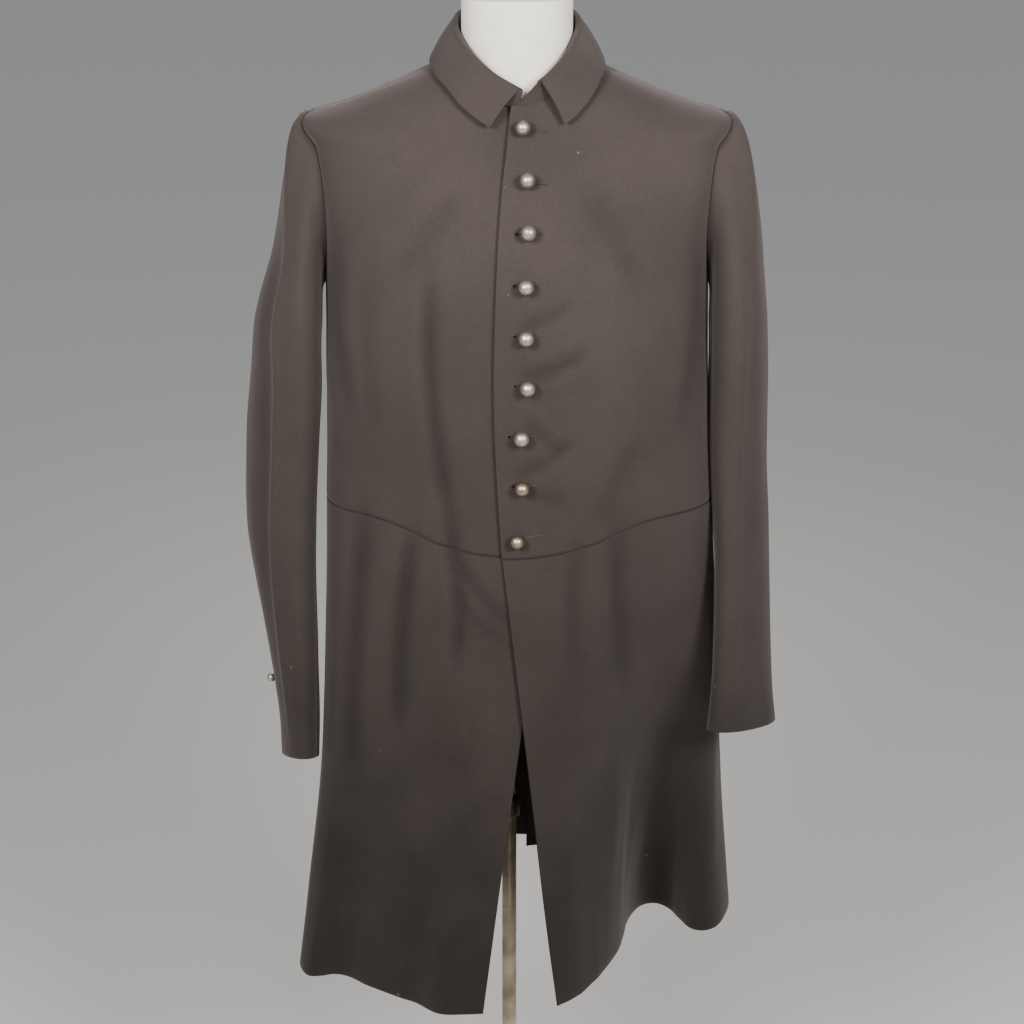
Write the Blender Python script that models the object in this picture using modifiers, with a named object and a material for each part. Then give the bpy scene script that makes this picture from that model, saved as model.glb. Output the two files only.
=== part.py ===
"""Single-breasted frock coat on a limbless dress form and pole stand."""

import math

import bpy
from mathutils import Vector

# Cloth
WALL = 0.002
HALF_SEAM = 0.00015
SLEEVE_GAP = 0.0009
LAP_INSET = 0.0036
NECK_LAP_INSET = 0.0012
LAP_FADE = 0.024
BODY_POWER = 2.4

# The coat and the form stand a little to one side of the pole.
COAT_X = 0.008

# Rings of the coat's body, by their height at the side seam
# level, front rise, back rise, half width, front depth, back depth
BODY = (
    (0.940, 0.000, 0.000, 0.1990, 0.137, 0.120),
    (1.020, 0.000, 0.000, 0.1960, 0.137, 0.120),
    (1.100, 0.000, 0.000, 0.1945, 0.139, 0.124),
    (1.180, 0.000, 0.000, 0.1935, 0.140, 0.130),
    (1.250, 0.000, 0.000, 0.1930, 0.134, 0.133),
    (1.300, -0.010, 0.002, 0.1970, 0.121, 0.128),
    (1.340, -0.021, 0.004, 0.2030, 0.106, 0.118),
    (1.367, -0.030, 0.005, 0.2120, 0.094, 0.107),
    (1.385, -0.033, 0.008, 0.1600, 0.085, 0.098),
    (1.405, -0.036, 0.012, 0.1080, 0.078, 0.088),
    (1.424, -0.039, 0.016, 0.0670, 0.073, 0.076),
)
NECK_LEVEL = 1.424
SHOULDER_LEVEL = 1.3715

# Rings of the dress form
# level, front rise, back rise, half width, front depth, back depth
FORM = (
    (0.880, 0.000, 0.000, 0.1480, 0.0980, 0.0930),
    (0.920, 0.000, 0.000, 0.1700, 0.1130, 0.1050),
    (0.960, 0.000, 0.000, 0.1850, 0.1240, 0.1120),
    (1.020, 0.000, 0.000, 0.1890, 0.1300, 0.1130),
    (1.100, 0.000, 0.000, 0.1875, 0.1310, 0.1170),
    (1.180, 0.000, 0.000, 0.1865, 0.1320, 0.1230),
    (1.250, 0.000, 0.000, 0.1860, 0.1260, 0.1260),
    (1.300, -0.010, 0.002, 0.1900, 0.1130, 0.1210),
    (1.340, -0.023, 0.004, 0.1960, 0.0940, 0.1110),
    (1.367, -0.033, 0.005, 0.2020, 0.0820, 0.1000),
    (1.385, -0.036, 0.008, 0.1520, 0.0730, 0.0910),
    (1.405, -0.038, 0.012, 0.0960, 0.0660, 0.0790),
    (1.424, -0.034, 0.013, 0.0590, 0.0605, 0.0660),
    (1.440, -0.015, 0.006, 0.0555, 0.0560, 0.0590),
    (1.458, -0.003, 0.001, 0.0550, 0.0540, 0.0550),
    (1.482, 0.000, 0.000, 0.0550, 0.0540, 0.0540),
)
FORM_LEVELS = (0.88, 0.9, 0.925, 0.955, 1.0, 1.06, 1.12, 1.18, 1.24, 1.285, 1.32, 1.345,
               1.367, 1.385, 1.405, 1.424, 1.44, 1.458, 1.482)
FORM_SIDES = 28

# Waist seam: angle round the body from the front, level
WAIST = (
    (-20.0, 0.948),
    (0.0, 0.946),
    (15.0, 0.950),
    (27.0, 0.957),
    (38.0, 0.968),
    (48.0, 0.978),
    (60.0, 0.981),
    (90.0, 0.978),
    (160.0, 0.985),
    (180.0, 0.985),
)
SIDE_SEAM = 82.0
TAIL_SEAM = 159.0

# Edge of the overlapping left front: level, x
FRONT_EDGE = (
    (0.946, -0.0150),
    (1.020, -0.0195),
    (1.090, -0.0224),
    (1.170, -0.0219),
    (1.310, -0.0155),
    (1.424, -0.0060),
)
LAP_END_X = 0.030

# Curved seam of the back: level, angle
BACK_SEAM = (
    (0.985, 159.0),
    (1.040, 157.5),
    (1.100, 152.0),
    (1.150, 144.0),
    (1.195, 133.0),
    (1.228, 120.5),
    (1.2518, 108.0),
)

# The padded chest fills the front out ahead of the armholes.
CHEST_ANGLE = 74.0
CHEST_SPREAD = 13.0
CHEST_LEVEL = 1.310
CHEST_REACH = 0.055
CHEST_FULLNESS = 0.012

# Armhole: an oval in angle and level. Its turn runs from the top, forwards and down.
ARMHOLE_LEVEL = 1.285
ARMHOLE_HALF_HEIGHT = 0.0865
ARMHOLE_FRONT_ANGLE = 12.5
ARMHOLE_BACK_ANGLE = 19.5
TURN_AT_SIDE_SEAM = 140.2
TURN_AT_BACK_SEAM = 247.4
FRONT_ARM_STEPS = 10
SIDE_ARM_STEPS = 7
BACK_ARM_STEPS = 8
SEAM_STEPS = 6
SHOULDER_STEPS = 3
NECK_STEPS = 6
NECK_CORNER = 75.0
PANEL_COLUMNS = 10
BACK_COLUMNS = 8

# Plan of the hem of the left skirt, from its front edge round to the tail, with
# its inner pleat: x, y
HEM_LEFT = (
    (0.0425, -0.1545),
    (0.0668, -0.1300),
    (0.0940, -0.0760),
    (0.1130, -0.0250),
    (0.1225, 0.0310),
    (0.1365, 0.0680),
    (0.1550, 0.0790),
    (0.1714, 0.0660),
    (0.1808, 0.0400),
    (0.1915, 0.0150),
    (0.2070, 0.0070),
    (0.2230, 0.0180),
    (0.2360, 0.0515),
    (0.2415, 0.0893),
    (0.2380, 0.1400),
    (0.2100, 0.1850),
    (0.1600, 0.2120),
    (0.1000, 0.2160),
    (0.0640, 0.2080),
)
# The same for the right skirt, with x outwards
HEM_RIGHT = (
    (0.0350, -0.1712),
    (0.0798, -0.1720),
    (0.1064, -0.1475),
    (0.1280, -0.1345),
    (0.1552, -0.1150),
    (0.1778, -0.0935),
    (0.1943, -0.0885),
    (0.2098, -0.0935),
    (0.2250, -0.0910),
    (0.2345, -0.0600),
    (0.2240, -0.0100),
    (0.2110, 0.0300),
    (0.2180, 0.0750),
    (0.2280, 0.1200),
    (0.2070, 0.1750),
    (0.1600, 0.2120),
    (0.1000, 0.2260),
    (0.0640, 0.2230),
)
HEM_FRONT_Z = 0.461
HEM_BACK_Z = 0.470
SKIRT_ROWS = 6
SKIRT_END = 166.0

# Plan of each tail's hem, from the centre back outwards: x, y
TAIL_LEFT = (
    (0.0117, 0.2220),
    (0.0500, 0.2290),
    (0.0970, 0.2300),
)
TAIL_RIGHT = (
    (-0.0350, 0.2520),
    (0.0300, 0.2560),
    (0.0970, 0.2400),
)
TAIL_ROWS = 7

# Sections of the right sleeve, which bends outwards, with x outwards
# height, centre x, centre y, half width, half depth, turn, tilt
SLEEVE_RIGHT = (
    (0.697, 0.2293, -0.0380, 0.0190, 0.0520, 10.0, 0.28),
    (0.743, 0.2297, -0.0320, 0.0209, 0.0550, 10.0, 0.22),
    (0.810, 0.2353, -0.0200, 0.0248, 0.0580, 14.0, 0.16),
    (0.900, 0.2450, -0.0030, 0.0299, 0.0635, 22.0, 0.10),
    (0.945, 0.2470, 0.0060, 0.0315, 0.0660, 25.0, 0.07),
    (1.035, 0.2439, 0.0110, 0.0316, 0.0700, 25.0, 0.03),
    (1.100, 0.2384, 0.0060, 0.0316, 0.0725, 22.0, 0.00),
    (1.160, 0.2335, 0.0000, 0.0310, 0.0745, 17.0, 0.00),
    (1.220, 0.2192, 0.0000, 0.0290, 0.0740, 12.0, 0.00),
)
# The same for the left sleeve, which hangs straight
SLEEVE_LEFT = (
    (0.736, 0.2361, -0.0520, 0.0260, 0.0560, 35.0, 0.20),
    (0.765, 0.2363, -0.0450, 0.0245, 0.0565, 31.0, 0.16),
    (0.810, 0.2369, -0.0330, 0.0242, 0.0580, 26.0, 0.12),
    (0.900, 0.2360, -0.0120, 0.0246, 0.0630, 20.0, 0.06),
    (0.960, 0.2330, -0.0020, 0.0265, 0.0660, 17.0, 0.03),
    (1.020, 0.2296, 0.0040, 0.0283, 0.0690, 15.0, 0.00),
    (1.100, 0.2277, 0.0040, 0.0295, 0.0725, 12.0, 0.00),
    (1.160, 0.2255, 0.0000, 0.0290, 0.0745, 10.0, 0.00),
    (1.220, 0.2206, 0.0000, 0.0290, 0.0740, 8.0, 0.00),
)
# Level at which the sleeve's underside leaves the armhole
UNDERARM_LEVEL = 1.160
CAP_STEPS = (0.13, 0.29, 0.46, 0.64, 0.82, 1.0)
SLEEVE_ROWS = 9

# Collar sections, by their angle round the neckline, with x outwards
# angle, roll x, roll y, roll z, edge x, edge y, edge z
COLLAR_BACK = (
    (88.0, 0.0605, 0.0000, 1.4580, 0.0870, 0.0020, 1.4210),
    (120.0, 0.0560, 0.0320, 1.4670, 0.0800, 0.0450, 1.4240),
    (150.0, 0.0335, 0.0580, 1.4745, 0.0470, 0.0810, 1.4290),
    (180.0, 0.0000, 0.0690, 1.4780, 0.0000, 0.0950, 1.4320),
)
COLLAR_RIGHT = (
    (-1.5, -0.0027, -0.0800, 1.4030, 0.0265, -0.0900, 1.3665),
    (10.0, 0.0117, -0.0785, 1.4105, 0.0390, -0.0870, 1.3745),
    (22.0, 0.0252, -0.0730, 1.4185, 0.0530, -0.0800, 1.3850),
    (37.0, 0.0408, -0.0590, 1.4310, 0.0680, -0.0640, 1.4010),
    (56.0, 0.0525, -0.0380, 1.4430, 0.0800, -0.0420, 1.4110),
) + COLLAR_BACK
COLLAR_LEFT = (
    (15.6, 0.0218, -0.0790, 1.4105, 0.0458, -0.0880, 1.3690),
    (26.0, 0.0300, -0.0735, 1.4165, 0.0570, -0.0840, 1.3775),
    (40.0, 0.0415, -0.0600, 1.4270, 0.0715, -0.0700, 1.3930),
    (58.0, 0.0525, -0.0400, 1.4400, 0.0830, -0.0460, 1.4110),
) + COLLAR_BACK
COLLAR_STEPS = 13
COLLAR_RAISE = 0.0009
ROLL_RADIUS = 0.0032

# Front buttons: x, height, radius
BUTTONS = (
    (0.0056, 1.3627, 0.0077),
    (0.0098, 1.3150, 0.0077),
    (0.0107, 1.2700, 0.0077),
    (0.0083, 1.2213, 0.0077),
    (0.0086, 1.1724, 0.0077),
    (0.0101, 1.1233, 0.0077),
    (0.0043, 1.0726, 0.0077),
    (0.0049, 1.0214, 0.0073),
    (0.0000, 0.9665, 0.0070),
)
CUFF_BUTTON_RADIUS = 0.0047
# How far above the cuff's middle, and how far round from the front
CUFF_BUTTONS = {"left": (0.066, 190.0), "right": (0.077, 126.0)}
BUTTON_GAP = 0.0006
TOP_BUTTON_GAP = 0.0013

# Stand: radius, height
BASE_PROFILE = (
    (0.0, 0.044),
    (0.020, 0.044),
    (0.024, 0.040),
    (0.026, 0.026),
    (0.040, 0.022),
    (0.185, 0.016),
    (0.196, 0.011),
    (0.200, 0.004),
    (0.199, 0.0),
    (0.0, 0.0),
)
POLE_RADIUS = 0.0078
UPPER_POLE_RADIUS = 0.0066
RING_RADIUS = 0.0115
RING_BOTTOM = 0.610
RING_TOP = 0.630

CHARCOAL = (0.105, 0.082, 0.077)
IVORY = (0.84, 0.80, 0.74)
PEWTER = (0.36, 0.33, 0.29)
BRONZE = (0.30, 0.24, 0.17)
TAN = (0.36, 0.25, 0.18)
BROWN = (0.16, 0.10, 0.07)


def hermite(start, leaving, end, arriving, s):
    """A point between two ends, from the slopes at both."""
    return (
        start * (2 * s**3 - 3 * s**2 + 1)
        + leaving * (s**3 - 2 * s**2 + s)
        + end * (3 * s**2 - 2 * s**3)
        + arriving * (s**3 - s**2)
    )


def read(rows, key):
    """The columns after the first, on a smooth curve through the rows."""
    last = len(rows) - 2
    i = min(max(sum(row[0] <= key for row in rows) - 1, 0), last)
    a = rows[i]
    b = rows[i + 1]
    before = rows[max(i - 1, 0)]
    after = rows[min(i + 2, last + 1)]
    span = b[0] - a[0]
    values = []
    for c in range(1, len(a)):
        leaving = (b[c] - before[c]) / (b[0] - before[0]) * span
        arriving = (after[c] - a[c]) / (after[0] - a[0]) * span
        values.append(hermite(a[c], leaving, b[c], arriving, (key - a[0]) / span))
    return values


def ease(s):
    """A soft step from 0 to 1."""
    s = min(max(s, 0.0), 1.0)
    return s * s * (3 - 2 * s)


def ring_point(rings, angle, level):
    """A point on a body whose rings are wider than deep, with soft corners."""
    front_rise, back_rise, half_width, front, back = read(rings, level)
    sine = math.sin(math.radians(angle))
    cosine = math.cos(math.radians(angle))
    depth = front if cosine > 0 else back
    rise = front_rise if cosine > 0 else back_rise
    across = (abs(sine) / half_width) ** BODY_POWER
    along = (abs(cosine) / depth) ** BODY_POWER
    radius = (across + along) ** (-1 / BODY_POWER)
    return Vector((radius * sine, -radius * cosine, level + rise * cosine**2))


def body_point(angle, level):
    point = ring_point(BODY, angle, level)
    nearness = ((angle - CHEST_ANGLE) / CHEST_SPREAD) ** 2
    nearness += ((level - CHEST_LEVEL) / CHEST_REACH) ** 2
    point.y -= CHEST_FULLNESS * math.exp(-nearness)
    return point


def body_normal(angle, level):
    around = body_point(angle + 2, level) - body_point(angle - 2, level)
    top = min(level + 0.012, NECK_LEVEL)
    up = body_point(angle, top) - body_point(angle, min(level, top) - 0.012)
    return around.cross(up).normalized()


def waist_level(angle):
    return read(WAIST, angle)[0]


def front_angle(x, level):
    """The angle at which the body's front passes this x."""
    return math.degrees(math.atan2(x, read(BODY, level)[3]))


def edge_x(level):
    return read(FRONT_EDGE, level)[0]


def armhole(turn):
    """Angle and level on the armhole."""
    radians = math.radians(turn)
    across = math.sin(radians)
    angle = 90 - (ARMHOLE_FRONT_ANGLE if across > 0 else ARMHOLE_BACK_ANGLE) * across
    return angle, ARMHOLE_LEVEL + ARMHOLE_HALF_HEIGHT * math.cos(radians)


def steps(start, end, count):
    return [start + (end - start) * i / count for i in range(count + 1)]


FRONT_TURNS = steps(0.0, TURN_AT_SIDE_SEAM, FRONT_ARM_STEPS)
SIDE_TURNS = steps(TURN_AT_SIDE_SEAM, TURN_AT_BACK_SEAM, SIDE_ARM_STEPS)
BACK_TURNS = steps(TURN_AT_BACK_SEAM, 360.0, BACK_ARM_STEPS)
SHOULDER = [(90.0, level) for level in steps(SHOULDER_LEVEL, NECK_LEVEL, SHOULDER_STEPS)]


def side_seam():
    low = waist_level(SIDE_SEAM)
    high = armhole(TURN_AT_SIDE_SEAM)[1]
    return [(SIDE_SEAM, level) for level in steps(low, high, SEAM_STEPS)]


def back_seam():
    return [(angle, level) for level, angle in BACK_SEAM]


def moved_in(grid):
    """The grid with each outer edge moved half a seam gap into the panel."""
    rows = len(grid) - 1
    columns = len(grid[0]) - 1
    moved = [list(row) for row in grid]

    def shift(i, j, beyond, behind, inner_i, inner_j):
        along = (beyond - behind).normalized()
        step = grid[inner_i][inner_j] - grid[i][j]
        step -= along * step.dot(along)
        moved[i][j] = moved[i][j] + step.normalized() * HALF_SEAM

    for i in range(rows + 1):
        inner_i = min(max(i, 1), rows - 1)
        for j, inner_j in ((0, 1), (columns, columns - 1)):
            shift(i, j, grid[min(i + 1, rows)][j], grid[max(i - 1, 0)][j], inner_i, inner_j)
    for j in range(columns + 1):
        inner_j = min(max(j, 1), columns - 1)
        for i, inner_i in ((0, 1), (rows, rows - 1)):
            beyond = grid[i][min(j + 1, columns)]
            shift(i, j, beyond, grid[i][max(j - 1, 0)], inner_i, inner_j)
    return moved


def grid_normals(grid, closed=False):
    """Unit normals of a grid of points, to the side that its rows cross its columns."""
    rows = len(grid) - 1
    count = len(grid[0])
    normals = []
    for i in range(rows + 1):
        line = []
        for j in range(count):
            before = grid[i][(j - 1) % count] if closed else grid[i][max(j - 1, 0)]
            after = grid[i][(j + 1) % count] if closed else grid[i][min(j + 1, count - 1)]
            up = grid[min(i + 1, rows)][j] - grid[max(i - 1, 0)][j]
            line.append((after - before).cross(up).normalized())
        normals.append(line)
    return normals


def material(name, colour, roughness, metallic=0.0):
    made = bpy.data.materials.new(name)
    made.use_nodes = True
    shader = made.node_tree.nodes["Principled BSDF"]
    shader.inputs["Base Color"].default_value = (*colour, 1.0)
    shader.inputs["Roughness"].default_value = roughness
    shader.inputs["Metallic"].default_value = metallic
    made.diffuse_color = (*colour, 1.0)
    return made


def finish(made, parent, colour, roughness, metallic=0.0):
    """Adds an object to the coat's collection, with its own material."""
    made.data.materials.append(material(made.name, colour, roughness, metallic))
    made.parent = parent
    bpy.data.collections["frock_coat"].objects.link(made)
    return made


def shell(name, outer, inner, parent, mirrored=False):
    """A closed cloth wall between an outer grid and an inner grid."""
    rows = len(outer) - 1
    columns = len(outer[0]) - 1
    flip = -1 if mirrored else 1
    points = [(flip * p.x, p.y, p.z) for grid in (outer, inner) for row in grid for p in row]
    depth = (rows + 1) * (columns + 1)

    def at(i, j, side):
        return side * depth + i * (columns + 1) + j

    faces = []
    for i in range(rows):
        for j in range(columns):
            faces.append((at(i, j, 0), at(i, j + 1, 0), at(i + 1, j + 1, 0), at(i + 1, j, 0)))
            faces.append((at(i, j, 1), at(i + 1, j, 1), at(i + 1, j + 1, 1), at(i, j + 1, 1)))
    for i in range(rows):
        faces.append((at(i, 0, 0), at(i + 1, 0, 0), at(i + 1, 0, 1), at(i, 0, 1)))
        faces.append((at(i + 1, columns, 0), at(i, columns, 0),
                      at(i, columns, 1), at(i + 1, columns, 1)))
    for j in range(columns):
        faces.append((at(0, j + 1, 0), at(0, j, 0), at(0, j, 1), at(0, j + 1, 1)))
        faces.append((at(rows, j, 0), at(rows, j + 1, 0), at(rows, j + 1, 1), at(rows, j, 1)))
    if mirrored:
        faces = [face[::-1] for face in faces]
    mesh = bpy.data.meshes.new(name)
    mesh.from_pydata(points, [], faces)
    mesh.shade_smooth()
    mesh.set_sharp_from_angle(angle=math.radians(50))
    made = bpy.data.objects.new(name, mesh)
    return finish(made, parent, CHARCOAL, 0.9)


def below(outer, normals):
    """The inner side of a wall."""
    return [
        [point - normal * WALL for point, normal in zip(row, line)]
        for row, line in zip(outer, normals)
    ]


def lap_inset(angle, level):
    """How far the right front lies under the left one, with x outwards."""
    beyond = body_point(angle, level).x + edge_x(level) - 0.002
    inset = LAP_INSET + NECK_LAP_INSET * ease((level - 1.3) / 0.08)
    return inset * (1 - ease(beyond / LAP_FADE))


def front_keys(under):
    """Angle and level of each point of a front, from the waist up."""
    low = waist_level(0.0)
    left = []
    for level in steps(low, NECK_LEVEL, FRONT_ARM_STEPS + SEAM_STEPS + SHOULDER_STEPS - NECK_STEPS):
        x = -LAP_END_X if under else edge_x(level)
        left.append((front_angle(x, level), level))
    left += [(angle, NECK_LEVEL) for angle in steps(left[-1][0], NECK_CORNER, NECK_STEPS)[1:]]
    right = side_seam() + [armhole(turn) for turn in FRONT_TURNS[::-1]][1:] + SHOULDER[1:]
    keys = []
    for i, (start, end) in enumerate(zip(left, right)):
        row = []
        shares = steps(0.0, 1.0, PANEL_COLUMNS)
        if under and start[1] < NECK_LEVEL:
            # Two columns follow the left front's edge.
            span = end[0] - start[0]
            near = (front_angle(0.002 - edge_x(start[1]), start[1]) - start[0]) / span
            far = (front_angle(0.026 - edge_x(start[1]), start[1]) - start[0]) / span
            shares = [0.0, near / 2, near, far] + steps(far, 1.0, PANEL_COLUMNS - 3)[1:]
        for share in shares:
            angle = start[0] + (end[0] - start[0]) * share
            level = start[1] + (end[1] - start[1]) * share
            straight = left[0][1] + (right[0][1] - left[0][1]) * share
            level += (waist_level(angle) - straight) * max(0.0, 1 - i / 5)
            row.append((angle, level))
        keys.append(row)
    return keys


def make_front(name, under, parent):
    keys = front_keys(under)
    grid = [[body_point(*key) for key in row] for row in keys]
    normals = [[body_normal(*key) for key in row] for row in keys]
    if under:
        grid = [
            [point - normal * lap_inset(*key) for point, normal, key in zip(*lines)]
            for lines in zip(grid, normals, keys)
        ]
    outer = moved_in(grid)
    shell(name, outer, below(outer, normals), parent, mirrored=under)
    return grid[0], normals[0]


def make_side_body(name, parent, mirrored):
    front = side_seam()
    back = back_seam()
    top = [armhole(turn) for turn in SIDE_TURNS]
    keys = []
    for i, (start, end) in enumerate(zip(front, back)):
        share_up = i / SEAM_STEPS
        row = []
        for j in range(SIDE_ARM_STEPS + 1):
            share = j / SIDE_ARM_STEPS
            angle = start[0] + (end[0] - start[0]) * share
            level = start[1] + (end[1] - start[1]) * share
            last = (front[-1][0] + (back[-1][0] - front[-1][0]) * share,
                    front[-1][1] + (back[-1][1] - front[-1][1]) * share)
            weight = share_up**2
            angle += (top[j][0] - last[0]) * weight
            level += (top[j][1] - last[1]) * weight
            if i == 0:
                level = waist_level(angle)
            row.append((angle, level))
        keys.append(row)
    grid = [[body_point(*key) for key in row] for row in keys]
    normals = [[body_normal(*key) for key in row] for row in keys]
    outer = moved_in(grid)
    shell(name, outer, below(outer, normals), parent, mirrored)
    return grid[0], normals[0]


def along_line(points, share):
    """A point at a share of a polyline's length."""
    lengths = [(b - a).length for a, b in zip(points, points[1:])]
    left = share * sum(lengths)
    for i, length in enumerate(lengths):
        if left <= length or i == len(lengths) - 1:
            return points[i].lerp(points[i + 1], min(left / length, 1.0))
        left -= length


def plan_curve(rows):
    """Fine points along a smooth curve through plan points."""
    keyed = [(float(i), x, y) for i, (x, y) in enumerate(rows)]
    count = 12 * (len(rows) - 1)
    return [Vector((*read(keyed, key), 0.0)) for key in steps(0.0, len(rows) - 1.0, count)]


def make_back(name, tail_plan, parent, mirrored):
    """A back with its tail, from the hem to the neck."""
    top_keys = back_seam() + [armhole(turn) for turn in BACK_TURNS][1:] + SHOULDER[1:]
    neck_start = len(top_keys) - NECK_STEPS
    centre = [(180.0, level) for level in steps(0.985, NECK_LEVEL, neck_start - 1)]
    corner = 180.0 - NECK_CORNER
    centre += [(angle, NECK_LEVEL) for angle in steps(180.0, corner, NECK_STEPS)[1:]]
    keys = []
    for start, end in zip(centre, top_keys):
        keys.append([
            (start[0] + (end[0] - start[0]) * share, start[1] + (end[1] - start[1]) * share)
            for share in steps(0.0, 1.0, BACK_COLUMNS)
        ])
    upper = [[body_point(*key) for key in row] for row in keys]
    upper_normals = [[body_normal(*key) for key in row] for row in keys]

    waist = upper[0]
    hem = plan_curve(tail_plan)
    hem_start = hem[0].x
    lower = []
    for row in range(TAIL_ROWS):
        drop = 1 - (row / TAIL_ROWS) ** 1.15
        line = []
        for j in range(BACK_COLUMNS + 1):
            share = j / BACK_COLUMNS
            end = along_line(hem, share)
            # The lap at the centre back opens a little below the waist.
            opening = ease((drop - 0.17) / 0.3) * hem_start * (1 - share) ** 2
            flat = end.x - hem_start * (1 - share) ** 2
            x = waist[j].x + (flat - waist[j].x) * drop + opening
            y = waist[j].y + (end.y - waist[j].y) * drop
            line.append(Vector((x, y, waist[j].z + (HEM_BACK_Z - waist[j].z) * drop)))
        lower.append(line)
    # Each row runs from the side to the centre, as the other panels' rows do.
    grid = [line[::-1] for line in lower + upper]
    upper_normals = [line[::-1] for line in upper_normals]
    normals = grid_normals(grid)[:TAIL_ROWS] + upper_normals
    outer = moved_in(grid)
    shell(name, outer, below(outer, normals), parent, mirrored)


def make_skirt(name, waist, waist_normals, hem_plan, under, parent):
    """A skirt from the front edge round to a pleat tucked in under the tail."""
    hem = plan_curve(hem_plan)
    lengths = [(b - a).length for a, b in zip(waist, waist[1:])]
    rows = []
    tops = []
    done = 0.0
    for i, length in enumerate(lengths):
        for place in (0.0, 0.5) if length > 0.011 else (0.0,):
            share = (done + length * place) / sum(lengths)
            normal = waist_normals[i].lerp(waist_normals[i + 1], place).normalized()
            rows.append((share, waist[i].lerp(waist[i + 1], place), along_line(hem, share)))
            tops.append(normal)
        done += length
    rows.append((1.0, waist[-1], hem[-1]))
    tops.append(waist_normals[-1])
    grid = []
    for i in range(SKIRT_ROWS + 1):
        drop = 1 - i / SKIRT_ROWS
        line = []
        for share, top, low in rows:
            # The lower front stays behind the upper one where they overlap.
            bend = 1 + (1.4 * max(0.0, 1 - share / 0.18) if under else 0.0)
            low_z = HEM_FRONT_Z + (HEM_BACK_Z - HEM_FRONT_Z) * ease(share)
            line.append(Vector((
                top.x + (low.x - top.x) * drop,
                top.y + (low.y - top.y) * drop**bend,
                top.z + (low_z - top.z) * drop,
            )))
        grid.append(line)
    normals = grid_normals(grid)[:-1] + [tops]
    outer = moved_in(grid)
    shell(name, outer, below(outer, normals), parent, mirrored=under)


def waist_line(front, side_body):
    """The bodice's lower edge, front edge first, then the stretch under the tail."""
    points = front[0] + side_body[0][1:]
    normals = front[1] + side_body[1][1:]
    level = waist_level(TAIL_SEAM)
    end = points.pop()
    normal = normals.pop()
    before = end.lerp(points[-1], 0.35)
    points += [before, end - normal * 0.0036]
    normals += [normal, normal]
    for angle in (TAIL_SEAM + 3.5, SKIRT_END):
        under_normal = body_normal(angle, level)
        points.append(body_point(angle, level) - under_normal * 0.0036)
        normals.append(under_normal)
    return points, normals


def sleeve_point(sections, height, around):
    """A point round a sleeve: 0 degrees is the front, 90 outwards."""
    x, y, half_width, half_depth, turn, tilt = read(sections, height)
    out = half_width * math.sin(math.radians(around))
    along = -half_depth * math.cos(math.radians(around))
    sine = math.sin(math.radians(turn))
    cosine = math.cos(math.radians(turn))
    back = along * cosine - out * sine
    return Vector((x + out * cosine + along * sine, y + back, height - tilt * back))


def sleeve_top(sections, turn):
    """The level at which the sleeve's cap ends, higher on the outside of the arm."""
    upper = max(0.0, math.cos(math.radians(turn)))
    return UNDERARM_LEVEL + (sections[-1][0] - UNDERARM_LEVEL) * upper


def make_sleeve(side, sections, parent, mirrored):
    turns = FRONT_TURNS[:-1] + SIDE_TURNS[:-1] + BACK_TURNS[:-1]
    start = []
    start_normals = []
    for turn in turns:
        key = armhole(turn)
        point = body_point(*key)
        normal = body_normal(*key)
        along = body_point(*armhole(turn + 1)) - body_point(*armhole(turn - 1))
        off = along.cross(normal).normalized()
        centre = body_point(90.0, ARMHOLE_LEVEL)
        if off.dot(centre - point) < 0:
            off = -off
        start.append(point + off * SLEEVE_GAP)
        start_normals.append(normal)
    tops = [sleeve_top(sections, turn) for turn in turns]
    grid = [start]
    for s in CAP_STEPS:
        ring = []
        for first, turn, top in zip(start, turns, tops):
            around = 90.0 - turn
            last = sleeve_point(sections, top, around)
            reach = (last - first).length
            upper = max(0.0, math.cos(math.radians(turn)))
            leaving = Vector((1.0, 0.0, 0.22 * upper**2)) * (0.30 + 0.22 * upper) * reach
            arriving = (sleeve_point(sections, top - 0.01, around) - last).normalized() * reach
            ring.append(hermite(first, leaving, last, arriving, s))
        grid.append(ring)
    for share in steps(0.0, 1.0, SLEEVE_ROWS)[1:]:
        grid.append([
            sleeve_point(sections, top + (sections[0][0] - top) * share, 90.0 - turn)
            for turn, top in zip(turns, tops)
        ])
    numeric = grid_normals(grid, closed=True)
    normals = [start_normals] + numeric[1:]
    count = len(turns)
    hind = FRONT_ARM_STEPS + SIDE_ARM_STEPS + 5
    upper_columns = [k % count for k in range(hind, count + FRONT_ARM_STEPS + 1)]
    under_columns = list(range(FRONT_ARM_STEPS, hind + 1))
    for piece, columns in (("top_sleeve", upper_columns), ("under_sleeve", under_columns)):
        outer = [[row[k] for k in columns] for row in grid]
        lines = [[row[k] for k in columns] for row in normals]
        for i, row in enumerate(outer):
            # Only the two sleeve seams open: the armhole keeps its own gap.
            for k, near in ((0, 1), (-1, -2)):
                row[k] = row[k] + (row[near] - row[k]).normalized() * 2 * HALF_SEAM
        shell(f"{piece}_{side}", outer, below(outer, lines), parent, mirrored)
    above, around = CUFF_BUTTONS[side]
    height = sections[0][0] + above
    spot = sleeve_point(sections, height, around)
    ahead = sleeve_point(sections, height, around - 4) - sleeve_point(sections, height, around + 4)
    down = sleeve_point(sections, height - 0.01, around) - spot
    normal = ahead.cross(down).normalized()
    return spot, normal


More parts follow.
